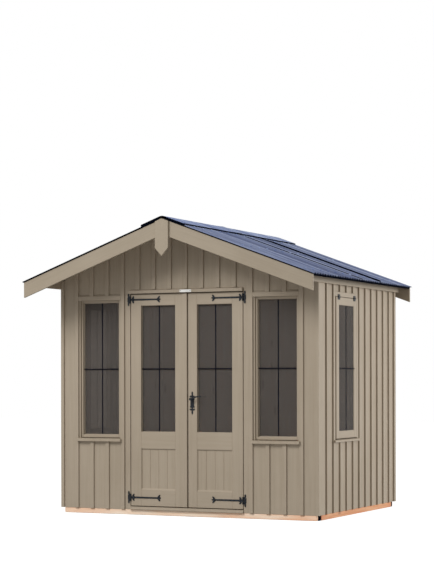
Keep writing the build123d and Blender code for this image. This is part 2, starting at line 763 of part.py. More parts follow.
# Lever handles, one each side, on one spindle: a hub, a bar that bends up and levels out, and a knob
with BuildPart() as door_lever:
    reach = handle_plate_thickness + lever_standoff
    with Locations((x_spindle, y_board + leaf_thickness / 2, z_spindle)):
        Cylinder(spindle_radius, leaf_thickness + 2 * reach - lever_hub_length, rotation=(90, 0, 0))
    for y_end, inward in ((y_board - reach, 1), (y_leaf_back + reach, -1)):
        y_grip = y_end + inward * lever_hub_length / 2
        with Locations((x_spindle, y_grip, z_spindle)):
            Cylinder(lever_hub_radius, lever_hub_length, rotation=(90, 0, 0))
        with BuildLine(across(y_grip)) as grip:
            FilletPolyline((x_spindle, z_spindle),
                           (x_spindle + lever_length * lever_bend_share, z_spindle + lever_rise),
                           (x_spindle + lever_length, z_spindle + lever_rise), radius=lever_bend_radius)
        with BuildSketch(Plane(origin=grip.line @ 0, x_dir=(0, 1, 0), z_dir=grip.line % 0)):
            RegularPolygon(lever_radius, lever_facets)
        sweep(path=grip.line)
        with BuildPart(mode=Mode.PRIVATE) as knob:
            with BuildSketch(Plane(origin=grip.line @ 1, x_dir=(0, 1, 0), z_dir=grip.line % 1)):
                RegularPolygon(lever_knob_radius, lever_facets)
            extrude(amount=lever_knob_length)
            chamfer(knob.faces().sort_by(Axis.X)[-1].edges(), length=lever_knob_chamfer)
        add(knob.part)
save(door_lever.part, "door_lever")
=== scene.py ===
"""Dress a timber summerhouse: painted boards and joinery, leaded panes, black ironwork, corrugated roofing.

Metres, in the part's own frame: +X to the right, +Y to the back (the doors face -Y), +Z up.
Boards, cover strips, bars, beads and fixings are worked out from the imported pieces' own boxes.
"""
from __future__ import annotations

import logging
from dataclasses import dataclass, replace
from enum import Enum, IntEnum
from math import cos, pi, radians, sin
from typing import Mapping, Sequence, Union

import bmesh
import bpy
import numpy as np
import numpy.typing as npt
from mathutils import Matrix, Vector


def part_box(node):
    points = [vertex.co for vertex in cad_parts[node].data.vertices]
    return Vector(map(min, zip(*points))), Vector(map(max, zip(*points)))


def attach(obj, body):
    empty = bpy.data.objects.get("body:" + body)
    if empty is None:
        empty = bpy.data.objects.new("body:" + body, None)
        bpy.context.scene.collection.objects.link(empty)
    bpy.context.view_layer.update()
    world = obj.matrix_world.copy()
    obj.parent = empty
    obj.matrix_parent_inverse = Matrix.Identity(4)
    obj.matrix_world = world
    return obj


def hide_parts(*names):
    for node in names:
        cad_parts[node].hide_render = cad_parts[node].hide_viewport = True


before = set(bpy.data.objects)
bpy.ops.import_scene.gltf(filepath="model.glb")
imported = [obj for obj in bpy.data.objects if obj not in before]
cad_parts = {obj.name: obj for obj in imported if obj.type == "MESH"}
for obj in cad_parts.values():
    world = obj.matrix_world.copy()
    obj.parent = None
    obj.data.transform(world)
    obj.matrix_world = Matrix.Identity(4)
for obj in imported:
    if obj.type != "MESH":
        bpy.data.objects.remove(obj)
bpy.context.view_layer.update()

LOG = logging.getLogger("summerhouse")
GRAIN_MAP = "grain"
GRAIN_SHIFT = (1.73, 0.61)
DOME_RINGS = (0.0, 25.0, 50.0, 75.0)
NEARLY_UP = 0.9
SMOOTH_UP_TO = radians(40.0)
MERGED_WITHIN = 1e-5
FLAT_WITHIN = radians(0.5)
EASED_FROM = radians(35.0)
EASE_STEPS = 2
WHITE = (1.0, 1.0, 1.0, 1.0)

Array = npt.NDArray[np.float64]
Index = npt.NDArray[np.int64]
Point = tuple[float, float, float]
Colour = tuple[float, float, float, float]
Range = tuple[float, float]
Ramp = tuple[float, float, float, float]
Material = bpy.types.Material
Node = bpy.types.Node
Socket = bpy.types.NodeSocket
Value = Union[float, Point, Colour, Socket]


class Axis(IntEnum):
    """The axis that a straight member runs along."""

    X = 0
    Y = 1
    Z = 2

    @property
    def order(self) -> list[int]:
        """The three axes in turn, this one first."""
        return [(self + step) % 3 for step in range(3)]

    @property
    def through(self) -> Axis:
        """The level axis across this one: through a pane whose width runs along X or Y."""
        return Axis.Y if self is Axis.X else Axis.X


class Side(IntEnum):
    """Left or right of the ridge, as the sign of X."""

    LEFT = -1
    RIGHT = 1

    @property
    def word(self) -> str:
        """The side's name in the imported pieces."""
        return self.name.lower()

    @property
    def door(self) -> Body:
        """The door on this side."""
        return Body.LEFT_DOOR if self is Side.LEFT else Body.RIGHT_DOOR


class Body(str, Enum):
    """The bodies that move on their own."""

    HOUSE = "house"
    LEFT_DOOR = "left_door"
    RIGHT_DOOR = "right_door"
    LEVER = "lever"


class Slot(str, Enum):
    """The record's material slots."""

    BOARDS = "painted_boards"
    TRIM = "painted_trim"
    PINE = "bare_pine"
    GLASS = "glass"
    IRON = "ironwork"
    ROOFING = "roofing"


class Grain(Enum):
    """Where a timber finish takes the direction of its grain from."""

    MEMBER = "the member's own map"
    UPRIGHT = "boards that stand upright"


def srgb(red: int, green: int, blue: int) -> Colour:
    """Return a colour of the usual 0 to 255 values as linear light.

    Args:
        red, green, blue: the colour as it is seen on a screen.

    Returns:
        The linear colour, with full opacity.
    """
    share = np.array((red, green, blue)) / 255.0
    linear = np.where(share <= 0.04045, share / 12.92, ((share + 0.055) / 1.055) ** 2.4)
    return (*(float(value) for value in linear), 1.0)


# Surfaces


def spread(*columns: Array | float) -> Array:
    """Return points from their columns, arrays that fit one another."""
    return np.stack(np.broadcast_arrays(*columns), axis=-1)


def rows(*columns: Array | float) -> Array:
    """Return points from their columns, one to a row, with single values repeated for each row."""
    return spread(*(np.atleast_1d(np.asarray(column, float)) for column in columns))


@dataclass
class Shape:
    """Joined surface patches: points, the corners of each face and a map that follows the grain."""

    points: Array
    corners: Index
    sizes: Index
    grain: Array

    @staticmethod
    def joined(shapes: Sequence[Shape]) -> Shape:
        """Return several shapes as one, each one's corners counted on from the points before it.

        Args:
            shapes: the patches to join.

        Returns:
            One shape with all their faces.
        """
        starts = np.cumsum([0] + [len(shape.points) for shape in shapes[:-1]])
        return Shape(np.concatenate([shape.points for shape in shapes]),
                     np.concatenate([shape.corners + start for shape, start in zip(shapes, starts)]),
                     np.concatenate([shape.sizes for shape in shapes]),
                     np.concatenate([shape.grain for shape in shapes]))

    def sloped(self, level: float, slope: float) -> Shape:
        """Return the shape leaned to a roof: each point is raised by the level less the slope times |x|."""
        rise = level - slope * np.abs(self.points[:, 0])
        return replace(self, points=self.points + spread(0.0, 0.0, rise))

    def trimmed(self, top: Array) -> Shape:
        """Return the shape cut off level with a top height given for each point."""
        return replace(self, points=spread(*self.points[:, :2].T, np.minimum(self.points[:, 2], top)))


def signed_volume(points: Array, quads: Index) -> float:
    """Return the volume that outward faces enclose: a sixth of the triple products of their triangles."""
    a, b, c, d = (points[quads[:, corner]] for corner in range(4))
    return float(np.sum(np.cross(a, b) * c + np.cross(a, c) * d) / 6.0)


def tubes(points: Array, ring: bool = False) -> Shape:
    """Skin closed profiles that are carried through stations, for many copies at once.

    The grain map's first value is the distance run from station to station, and its second the girth
    round the profile, both shifted from copy to copy so that no two members show the same grain.

    Args:
        points: the copies, each with its stations, each with its profile's points in order.
        ring: true where the last station leads back to the first; otherwise the ends are capped.

    Returns:
        The closed surfaces, with their faces turned outwards.
    """
    copies, stations, around, _ = points.shape
    ids = np.arange(copies * stations * around).reshape(copies, stations, around)
    turned = np.roll(ids, -1, axis=2)
    steps = stations if ring else stations - 1
    near = [grid[:, :steps] for grid in (ids, turned)]
    far = [np.roll(grid, -1, axis=1)[:, :steps] for grid in (turned, ids)]
    quads = np.stack((*near, *far), axis=-1).reshape(-1, 4)

    centres = points.mean(axis=2)
    centres = np.concatenate((centres, centres[:, :1]), axis=1)
    run = np.linalg.norm(np.diff(centres, axis=1), axis=-1)
    run = np.concatenate((np.zeros((copies, 1)), np.cumsum(run, axis=1)), axis=1)
    middle = points[:, stations // 2]
    girth = np.linalg.norm(np.roll(middle, -1, axis=1) - middle, axis=-1)
    girth = np.concatenate((np.zeros((copies, 1)), np.cumsum(girth, axis=1)), axis=1)
    shift = np.arange(copies)[:, None]
    run = run + GRAIN_SHIFT[0] * shift
    girth = girth + GRAIN_SHIFT[1] * shift
    flat = spread(run[:, :, None], girth[:, None, :])
    if not ring:
        flat = flat[:, :-1]
    corners_map = np.stack((flat[:, :-1, :-1], flat[:, :-1, 1:], flat[:, 1:, 1:], flat[:, 1:, :-1]), axis=3)

    faces = [quads.ravel()]
    maps = [corners_map.reshape(-1, 2)]
    sizes = [np.full(len(quads), 4)]
    if not ring:
        faces += [ids[:, 0, ::-1].ravel(), ids[:, -1].ravel()]
        maps += [flat[:, 0, -2::-1].reshape(-1, 2), flat[:, -1, :-1].reshape(-1, 2)]
        sizes += [np.full(2 * copies, around)]
    corners, grain, counts = np.concatenate(faces), np.concatenate(maps), np.concatenate(sizes)
    centred = points - points.mean(axis=(1, 2), keepdims=True)
    if signed_volume(centred.reshape(-1, 3), quads) < 0:
        ends = np.repeat(np.cumsum(counts), counts)
        starts = ends - np.repeat(counts, counts)
        flipped = starts + ends - 1 - np.arange(len(corners))
        corners, grain = corners[flipped], grain[flipped]
    return Shape(points.reshape(-1, 3), corners, counts, grain)


def spans(lows: Array, highs: Array, along: Axis) -> tuple[Array, Array]:
    """Return half the sizes and the centres of boxes, as columns with the axis of their length first."""
    columns = (slice(None), along.order, None, None)
    return np.atleast_2d(highs - lows)[columns] / 2, np.atleast_2d(highs + lows)[columns] / 2


def boxes(lows: Array, highs: Array, along: Axis, ease: float) -> Shape:
    """Boards with eased arrises, all with their length on one axis.

    The section is a rectangle with its corners cut by the ease, eight points round. It is carried along
    the length through four stations: the two at the ends are drawn in by the ease, the inner two are full.

    Args:
        lows, highs: the boards' lowest and highest corners, one row each.
        along: the axis of their length.
        ease: how much is taken off each arris.

    Returns:
        The boards as one shape.
    """
    half, centre = spans(lows, highs, along)
    drawn_in = np.array((1.0, 0.0, 0.0, 1.0))[:, None]
    end_sign = np.array((-1.0, -1.0, 1.0, 1.0))[:, None]
    across_sign = np.array((1.0, 1, -1, -1, -1, -1, 1, 1))
    across_cut = np.array((0.0, 1, 1, 0, 0, 1, 1, 0))
    rise_sign = np.array((1.0, 1, 1, 1, -1, -1, -1, -1))
    rise_cut = 1.0 - across_cut
    local = spread(centre[:, 0] + end_sign * (half[:, 0] - ease * (1 - drawn_in)),
                   centre[:, 1] + across_sign * (half[:, 1] - ease * (across_cut + drawn_in)),
                   centre[:, 2] + rise_sign * (half[:, 2] - ease * (rise_cut + drawn_in)))
    return tubes(local[..., np.argsort(along.order)])


def rods(lows: Array, highs: Array, along: Axis, sides: int = 12) -> Shape:
    """Round rods that fill boxes: an ellipse of the box's section, carried along its length.

    Args:
        lows, highs: the boxes' lowest and highest corners, one row each.
        along: the axis of the rods' length.
        sides: points round each rod.

    Returns:
        The rods as one shape.
    """
    half, centre = spans(lows, highs, along)
    turn = np.arange(sides) * 2 * pi / sides
    ends = np.array((-1.0, 1.0))[:, None]
    local = spread(centre[:, 0] + ends * half[:, 0], centre[:, 1] + half[:, 1] * np.cos(turn),
                   centre[:, 2] + half[:, 2] * np.sin(turn))
    return tubes(local[..., np.argsort(along.order)])


def carried(profile: Array, start: float, end: float, along: Axis) -> Shape:
    """A profile carried straight along an axis.

    Args:
        profile: its points in the two axes that follow the axis of travel in the order X, Y, Z.
        start, end: where it begins and ends on the axis of travel.
        along: the axis of travel.

    Returns:
        The capped prism.
    """
    local = spread(np.array((start, end))[:, None], profile[:, 0], profile[:, 1])
    return tubes(local[None][..., np.argsort(along.order)])


def surrounds(centres: Array, half_wide: float, half_high: float, wide: Axis, section: Array) -> Shape:
    """Mitred frames round upright rectangles: a section carried round four corners.

    At each corner a section's point lies in from both edges by its first value, and off the centre's
    plane by its second, so that the joints are mitred.

    Args:
        centres: the rectangles' centres, one row each.
        half_wide, half_high: half their width and height.
        wide: the axis of their width, X or Y.
        section: the section's points, as the distance in from the edge and the place on the depth axis.

    Returns:
        The frames as one shape.
    """
    signs = np.array(((-1.0, -1.0), (1.0, -1.0), (1.0, 1.0), (-1.0, 1.0)))
    centres = np.atleast_2d(centres)[:, None, None, :]
    points = np.repeat(np.repeat(centres, len(signs), axis=1), len(section), axis=2)
    points[..., wide] += signs[:, :1] * (half_wide - section[:, 0])
    points[..., Axis.Z] += signs[:, 1:] * (half_high - section[:, 0])
    points[..., wide.through] += section[:, 1]
    return tubes(points, ring=True)


def domes(centres: Array, facing: Point, radius: float, height: float, sides: int = 10) -> Shape:
    """Round heads on a surface: rings of radius cos(t) and height sin(t), from the foot to near the crown.

    Args:
        centres: the heads' feet, one row each.
        facing: the unit direction that they stand out in.
        radius, height: the size of one head.
        sides: points round each ring.

    Returns:
        The heads as one shape.
    """
    out = np.array(facing)
    guide = np.eye(3)[Axis.Z if abs(out[Axis.Z]) < NEARLY_UP else Axis.X]
    first = np.cross(guide, out)
    first /= np.linalg.norm(first)
    second = np.cross(out, first)
    rise = np.radians(DOME_RINGS)[:, None, None]
    turn = (np.arange(sides) * 2 * pi / sides)[:, None]
    ring = np.cos(rise) * (np.cos(turn) * first + np.sin(turn) * second)
    head = radius * ring + height * np.sin(rise) * out
    return tubes(np.atleast_2d(centres)[:, None, None, :] + head)


def slab(outline: Array, back: float, face: float, ease: float) -> Shape:
    """A flat plate that faces the front or back: an outline in X and Z carried along Y, its face eased.

    The face's outline is drawn in by the ease along the mean of the two edges' normals at each point.

    Args:
        outline: the points in X and Z, in order.
        back, face: Y of the back and of the face.
        ease: how much is taken off the face's arris.

    Returns:
        The plate.
    """
    edges = np.roll(outline, -1, axis=0) - outline
    edges /= np.linalg.norm(edges, axis=1)[:, None]
    before = np.roll(edges, 1, axis=0)
    inward = np.stack((-(edges + before)[:, 1], (edges + before)[:, 0]), axis=-1)
    area = np.sum(outline[:, 0] * np.roll(outline[:, 1], -1) - outline[:, 1] * np.roll(outline[:, 0], -1))
    inward *= np.sign(area) / np.maximum(np.sum((edges + before) ** 2, axis=1), 1.0)[:, None] * 2
    way = np.sign(face - back)
    stations = ((0.0, back), (0.0, face - way * ease), (ease, face))
    rings = [spread(outline[:, 0] + inward[:, 0] * cut, y, outline[:, 1] + inward[:, 1] * cut)
             for cut, y in stations]
    return tubes(np.stack(rings)[None])


def skin(points: Array, flat: Array) -> Shape:
    """An open surface over a grid of points.

    Args:
        points: the rows and columns of points.
        flat: the grain map's values at the same places.

    Returns:
        The surface, its faces turned the way that rows cross columns.
    """
    ids = np.arange(points[..., 0].size).reshape(points.shape[:2])
    quads = np.stack((ids[:-1, :-1], ids[1:, :-1], ids[1:, 1:], ids[:-1, 1:]), axis=-1).reshape(-1, 4)
    corners = quads.ravel()
    return Shape(points.reshape(-1, 3), corners, np.full(len(quads), 4), flat.reshape(-1, 2)[corners])


def wall_box(wide: Axis, across: Range, level: Range, deep: Range) -> tuple[Array, Array]:
    """Measure out a box on a wall or a pane.

    Args:
        wide: the level axis along the wall.
        across, level, deep: the box's ranges along the wall, up it and through it.

    Returns:
        Its lowest and highest corner.
    """
    low, high = np.zeros(3), np.zeros(3)
    low[wide], high[wide] = across
    low[Axis.Z], high[Axis.Z] = level
    low[wide.through], high[wide.through] = sorted(deep)
    return low, high


def boards_in(corners: Sequence[tuple[Array, Array]], along: Axis, ease: float) -> Shape:
    """Return eased boards from the lowest and highest corner of each, with their length on one axis."""
    return boxes(*np.swapaxes(corners, 0, 1), along, ease)


def corners_of(node: str) -> tuple[Array, Array]:
    """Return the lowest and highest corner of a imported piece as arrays."""
    low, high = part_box(node)
    return np.array(low), np.array(high)


# Finishes


class Tree:
    """A node tree that is being wired."""

    def __init__(self, tree: bpy.types.NodeTree) -> None:
        """Keep the tree to add nodes to."""
        self.tree = tree

    def add(self, kind: str, inputs: Mapping[str | int, Value], **settings: object) -> Node:
        """Add one node, with its sockets set or linked.

        Args:
            kind: the node's type.
            inputs: a value, or an output to link, for each named or numbered socket.
            settings: the node's own properties.

        Returns:
            The node.
        """
        node = self.tree.nodes.new(kind)
        for name, value in settings.items():
            setattr(node, name, value)
        for name, value in inputs.items():
            if isinstance(value, Socket):
                self.tree.links.new(value, node.inputs[name])
            else:
                node.inputs[name].default_value = value
        return node

    def feed(self, value: Socket, node: Node, name: str) -> None:
        """Link a value to a node's named socket."""
        self.tree.links.new(value, node.inputs[name])

    def whole(self) -> Socket:
        """Return the place on the object."""
        return self.add("ShaderNodeTexCoord", {}).outputs["Object"]

    def drawn(self, place: Value, scale: Point, shift: Point = (0.0, 0.0, 0.0)) -> Socket:
        """Return a place scaled along its axes and shifted."""
        return self.add("ShaderNodeMapping", {"Vector": place, "Location": shift, "Scale": scale}).outputs[0]

    def maths(self, operation: str, first: Value, second: Value = 0.0, third: Value = 0.0) -> Socket:
        """Return the result of one sum on values."""
        return self.add("ShaderNodeMath", {0: first, 1: second, 2: third}, operation=operation).outputs[0]

    def blend(self, share: Value, first: Value, second: Value) -> Socket:
        """Return a colour that goes from the first to the second with the share."""
        return self.add("ShaderNodeMix", {0: share, 6: first, 7: second}, data_type="RGBA").outputs[2]

    def between(self, value: Value, low: float, high: float, start: float, end: float) -> Socket:
        """Return a value moved from the range low to high to the range start to end, and held at its ends."""
        return self.add("ShaderNodeMapRange", {0: value, 1: low, 2: high, 3: start, 4: end}).outputs[0]

    def noise(self, place: Value, scale: Value = 1.0, detail: float = 2.0, roughness: float = 0.5) -> Socket:
        """Return cloudy noise at a place, as a value."""
        inputs = {"Vector": place, "Scale": scale, "Detail": detail, "Roughness": roughness}
        return self.add("ShaderNodeTexNoise", inputs).outputs[0]


def new_group(name: str, inputs: Sequence[tuple[str, str]], outputs: Sequence[str],
              ) -> tuple[Tree, Node, Node]:
    """Start a shader node group.

    Args:
        name: the group's name.
        inputs: each input's name and socket type.
        outputs: the names of the values that it puts out.

    Returns:
        The tree, its input node and its output node.
    """
    tree = bpy.data.node_groups.new(name, "ShaderNodeTree")
    for label, kind in inputs:
        tree.interface.new_socket(label, in_out="INPUT", socket_type=kind)
    for label in outputs:
        tree.interface.new_socket(label, in_out="OUTPUT", socket_type="NodeSocketFloat")
    return Tree(tree), tree.nodes.new("NodeGroupInput"), tree.nodes.new("NodeGroupOutput")


class Effects:
    """Effects that several finishes share, each one node group made once."""

    streak_stretch: Point = (1.4, 38.0, 38.0)
    fibre_stretch: Point = (7.0, 260.0, 260.0)
    fibre_share: float = 0.6
    mottle_scale: float = 2.3
    splash_scale: float = 9.0
    splash_spread: float = 0.9
    splash_ramp: Ramp = (0.45, 1.25, 1.0, 0.0)
    grit_fineness: float = 4.3
    grit_share: float = 0.35

    def __init__(self) -> None:
        """Make the groups."""
        self.grain = self._grain()
        self.weather = self._weather()
        self.speckle = self._speckle()

    def _grain(self) -> bpy.types.NodeTree:
        """Return wood grain: noise drawn out along the grain, as a soft streak and as a height."""
        tree, given, out = new_group("wood grain", [("Place", "NodeSocketVector")], ["Streak", "Height"])
        streak = tree.noise(tree.drawn(given.outputs[0], self.streak_stretch), detail=5.0, roughness=0.6)
        fibre = tree.noise(tree.drawn(given.outputs[0], self.fibre_stretch), detail=3.0)
        slow = tree.maths("MULTIPLY", streak, 1 - self.fibre_share)
        height = tree.maths("MULTIPLY_ADD", fibre, self.fibre_share, slow)
        tree.feed(streak, out, "Streak")
        tree.feed(height, out, "Height")
        return tree.tree

    def _weather(self) -> bpy.types.NodeTree:
        """Return weathering: slow mottling, and splashed dust that fades out above the ground."""
        inputs = [("Place", "NodeSocketVector"), ("Reach", "NodeSocketFloat")]
        tree, given, out = new_group("weathering", inputs, ["Mottle", "Splash"])
        mottle = tree.noise(given.outputs["Place"], self.mottle_scale, detail=4.0, roughness=0.55)
        level = tree.add("ShaderNodeSeparateXYZ", {0: given.outputs["Place"]}).outputs[2]
        height = tree.maths("DIVIDE", level, given.outputs["Reach"])
        ragged = tree.noise(given.outputs["Place"], self.splash_scale, detail=3.0)
        edge = tree.maths("MULTIPLY_ADD", ragged, self.splash_spread, height)
        tree.feed(mottle, out, "Mottle")
        tree.feed(tree.between(edge, *self.splash_ramp), out, "Splash")
        return tree.tree

    def _speckle(self) -> bpy.types.NodeTree:
        """Return a grainy surface: small lumps with finer grit on them."""
        inputs = [("Place", "NodeSocketVector"), ("Scale", "NodeSocketFloat")]
        tree, given, out = new_group("speckle", inputs, ["Grit", "Height"])
        finer = tree.maths("MULTIPLY", given.outputs["Scale"], self.grit_fineness)
        lumps = tree.noise(given.outputs["Place"], given.outputs["Scale"])
        grit = tree.noise(given.outputs["Place"], finer)
        tree.feed(grit, out, "Grit")
        tree.feed(tree.maths("MULTIPLY_ADD", grit, self.grit_share, lumps), out, "Height")
        return tree.tree


def new_material(name: str) -> tuple[Material, Tree, Node]:
    """Start a material.

    Args:
        name: the finish's name.

    Returns:
        The material, its tree and its shader node.
    """
    material = bpy.data.materials.new(name)
    material.use_nodes = True
    tree = Tree(material.node_tree)
    return material, tree, material.node_tree.nodes["Principled BSDF"]


def grain_place(tree: Tree, grain: Grain) -> Socket:
    """Return the place on the grain: along it first, then across.

    Args:
        tree: the material's tree.
        grain: where the direction comes from.

    Returns:
        The vector to read the grain at.
    """
    if grain is Grain.MEMBER:
        return tree.add("ShaderNodeUVMap", {}, uv_map=GRAIN_MAP).outputs[0]
    upright = (0.0, radians(90.0), 0.0)
    return tree.add("ShaderNodeMapping", {"Vector": tree.whole(), "Rotation": upright}).outputs[0]


def roughen(tree: Tree, shader: Node, height: Socket, depth: float, strength: float) -> None:
    """Give a shader a bump of a height field.

    Args:
        tree: the material's tree.
        shader: the node whose normal is bent.
        height: the field, from 0 to 1.
        depth: what 1 stands for, in metres.
        strength: how much of it shows.
    """
    bump = tree.add("ShaderNodeBump", {"Height": height, "Distance": depth, "Strength": strength})
    tree.feed(bump.outputs[0], shader, "Normal")


@dataclass(frozen=True)
class Paint:
    """Matt outdoor paint on sawn or planed softwood, with the grain just showing through."""

    name: str
    colour: Colour
    shade: Colour
    dust: Colour
    grain: Grain
    splash_reach: float = 0.35
    streak_ramp: Ramp = (0.42, 0.72, 0.0, 0.35)
    cloud_ramp: Ramp = (0.35, 0.75, 0.0, 0.30)
    gloss_ramp: Ramp = (0.3, 0.8, 0.50, 0.66)
    dust_share: float = 0.22
    specular: float = 0.35
    grain_depth: float = 0.0006
    grain_strength: float = 0.30

    def material(self, effects: Effects) -> Material:
        """Return the finish: paint streaked along the grain, mottled, and dusted near the ground.

        Args:
            effects: the shared groups.

        Returns:
            The material.
        """
        material, tree, shader = new_material(self.name)
        grain = tree.add("ShaderNodeGroup", {"Place": grain_place(tree, self.grain)}, node_tree=effects.grain)
        weather = tree.add("ShaderNodeGroup", {"Place": tree.whole(), "Reach": self.splash_reach},
                           node_tree=effects.weather)
        streaks = tree.between(grain.outputs["Streak"], *self.streak_ramp)
        clouds = tree.between(weather.outputs["Mottle"], *self.cloud_ramp)
        painted = tree.blend(tree.maths("ADD", streaks, clouds), self.colour, self.shade)
        dusty = tree.maths("MULTIPLY", weather.outputs["Splash"], self.dust_share)
        tree.feed(tree.blend(dusty, painted, self.dust), shader, "Base Color")
        tree.feed(tree.between(weather.outputs["Mottle"], *self.gloss_ramp), shader, "Roughness")
        shader.inputs["Specular IOR Level"].default_value = self.specular
        roughen(tree, shader, grain.outputs["Height"], self.grain_depth, self.grain_strength)
        return material


@dataclass(frozen=True)
class Pine:
    """Bare pine: growth rings drawn out along the grain, red-brown heartwood and small knots."""

    name: str
    pale: Colour
    ring: Colour
    heart: Colour
    knot: Colour
    rings: float = 16.0
    ring_stretch: Point = (0.7, 9.0, 9.0)
    ring_ramp: Ramp = (0.25, 0.95, 0.0, 0.55)
    heart_stretch: Point = (1.1, 7.0, 7.0)
    heart_shift: Point = (4.0, 9.0, 0.0)
    heart_ramp: Ramp = (0.48, 0.68, 0.0, 0.65)
    knot_stretch: Point = (2.4, 9.0, 9.0)
    knot_ramp: Ramp = (0.07, 0.16, 0.85, 0.0)
    gloss_ramp: Ramp = (0.3, 0.7, 0.52, 0.70)
    grain_depth: float = 0.0007
    grain_strength: float = 0.35

    def material(self, effects: Effects) -> Material:
        """Return the finish.

        Args:
            effects: the shared groups.

        Returns:
            The material.
        """
        material, tree, shader = new_material(self.name)
        place = grain_place(tree, Grain.MEMBER)
        slow = tree.noise(tree.drawn(place, self.ring_stretch))
        rings = tree.maths("PINGPONG", tree.maths("MULTIPLY", slow, self.rings), 1.0)
        timber = tree.blend(tree.between(rings, *self.ring_ramp), self.pale, self.ring)
        heart = tree.noise(tree.drawn(place, self.heart_stretch, self.heart_shift), detail=3.0)
        timber = tree.blend(tree.between(heart, *self.heart_ramp), timber, self.heart)
        knot_place = tree.drawn(place, self.knot_stretch)
        knots = tree.add("ShaderNodeTexVoronoi", {"Vector": knot_place, "Scale": 1.0, "Randomness": 1.0})
        timber = tree.blend(tree.between(knots.outputs["Distance"], *self.knot_ramp), timber, self.knot)
        tree.feed(timber, shader, "Base Color")
        grain = tree.add("ShaderNodeGroup", {"Place": place}, node_tree=effects.grain)
        tree.feed(tree.between(grain.outputs["Streak"], *self.gloss_ramp), shader, "Roughness")
        roughen(tree, shader, grain.outputs["Height"], self.grain_depth, self.grain_strength)
        return material


@dataclass(frozen=True)
class Roofing:
    """Corrugated bitumen sheet: grainy blue-grey, paler where it has weathered, darker in streaks, and darkened
    in its troughs as painted shade.
    """

    name: str
    colour: Colour
    weathered: Colour
    streak: Colour
    painted_trough_shade: Colour
    # How far the troughs are darkened, as painted shade, from nothing up to the trough colour.
    trough: float = 0.0
    trough_shade_range: Range = (0.05, 0.6)
    grit_scale: float = 190.0
    patch_scale: float = 3.1
    fade_stretch: Point = (0.35, 9.0, 0.35)
    fade_shift: Point = (3.0, 1.7, 0.4)
    fade_ramp: Ramp = (0.46, 0.66, 0.0, 0.85)
    streak_stretch: Point = (0.3, 6.5, 0.3)
    streak_ramp: Ramp = (0.47, 0.64, 0.0, 0.85)
    grit_ramp: Ramp = (0.45, 0.75, 0.0, 0.25)
    gloss_ramp: Ramp = (0.3, 0.8, 0.62, 0.80)
    specular: float = 0.4
    grit_depth: float = 0.0009
    grit_strength: float = 0.5

    def material(self, effects: Effects) -> Material:
        """Return the finish.

        Args:
            effects: the shared groups.

        Returns:
            The material.
        """
        material, tree, shader = new_material(self.name)
        whole = tree.whole()
        speckle = tree.add("ShaderNodeGroup", {"Place": whole, "Scale": self.grit_scale},
                           node_tree=effects.speckle)
        fading = tree.drawn(whole, self.fade_stretch, self.fade_shift)
        faded = tree.noise(fading, detail=6.0, roughness=0.7)
        colour = tree.blend(tree.between(faded, *self.fade_ramp), self.colour, self.weathered)
        streaks = tree.noise(tree.drawn(whole, self.streak_stretch), detail=6.0, roughness=0.72)
        colour = tree.blend(tree.between(streaks, *self.streak_ramp), colour, self.streak)
        colour = tree.blend(tree.between(speckle.outputs["Grit"], *self.grit_ramp), colour, self.streak)
        # Painted shade: the colour goes to the near-black trough colour where the wave's share in the grain map
        # is low.
        wave = tree.add("ShaderNodeSeparateXYZ", {0: grain_place(tree, Grain.MEMBER)}).outputs[1]
        colour = tree.blend(tree.between(wave, *self.trough_shade_range, self.trough, 0.0), colour, self.painted_trough_shade)
        tree.feed(colour, shader, "Base Color")
        patches = tree.noise(whole, self.patch_scale, detail=4.0, roughness=0.6)
        tree.feed(tree.between(patches, *self.gloss_ramp), shader, "Roughness")
        shader.inputs["Specular IOR Level"].default_value = self.specular
        roughen(tree, shader, speckle.outputs["Height"], self.grit_depth, self.grit_strength)
        return material


@dataclass(frozen=True)
class Iron:
    """Hammered ironwork under black paint, or drawn lead: a dark metal with worn, paler high spots."""

    name: str
    colour: Colour
    worn: Colour
    metallic: float
    low_gloss: float
    high_gloss: float
    hammer_scale: float
    hammer_depth: float
    sheen: float
    grit_range: Range = (0.3, 0.7)
    worn_ramp: Ramp = (0.62, 0.95, 0.0, 1.0)
    hammer_strength: float = 0.6

    def material(self, effects: Effects) -> Material:
        """Return the finish.

        Args:
            effects: the shared groups.

        Returns:
            The material.
        """
        material, tree, shader = new_material(self.name)
        speckle = tree.add("ShaderNodeGroup", {"Place": tree.whole(), "Scale": self.hammer_scale},
                           node_tree=effects.speckle)
        high = tree.between(speckle.outputs["Height"], *self.worn_ramp)
        tree.feed(tree.blend(high, self.colour, self.worn), shader, "Base Color")
        gloss = tree.between(speckle.outputs["Grit"], *self.grit_range, self.high_gloss, self.low_gloss)
        tree.feed(gloss, shader, "Roughness")
        shader.inputs["Metallic"].default_value = self.metallic
        shader.inputs["Specular IOR Level"].default_value = self.sheen
        roughen(tree, shader, speckle.outputs["Height"], self.hammer_depth, self.hammer_strength)
        return material


@dataclass(frozen=True)
class Glass:
    """Smoky glass: partly clear, partly a warm grey film, faintly smeared."""

    name: str
    tint: Colour
    clear: float = 0.72
    index: float = 1.04
    smear_ramp: Ramp = (0.45, 0.8, 0.0, 0.05)

    def material(self, effects: Effects) -> Material:
        """Return the finish.

        Args:
            effects: the shared groups.

        Returns:
            The material.
        """
        material, tree, shader = new_material(self.name)
        weather = tree.add("ShaderNodeGroup", {"Place": tree.whole()}, node_tree=effects.weather)
        shader.inputs["Base Color"].default_value = self.tint
        shader.inputs["Transmission Weight"].default_value = self.clear
        shader.inputs["IOR"].default_value = self.index
        tree.feed(tree.between(weather.outputs["Mottle"], *self.smear_ramp), shader, "Roughness")
        return material


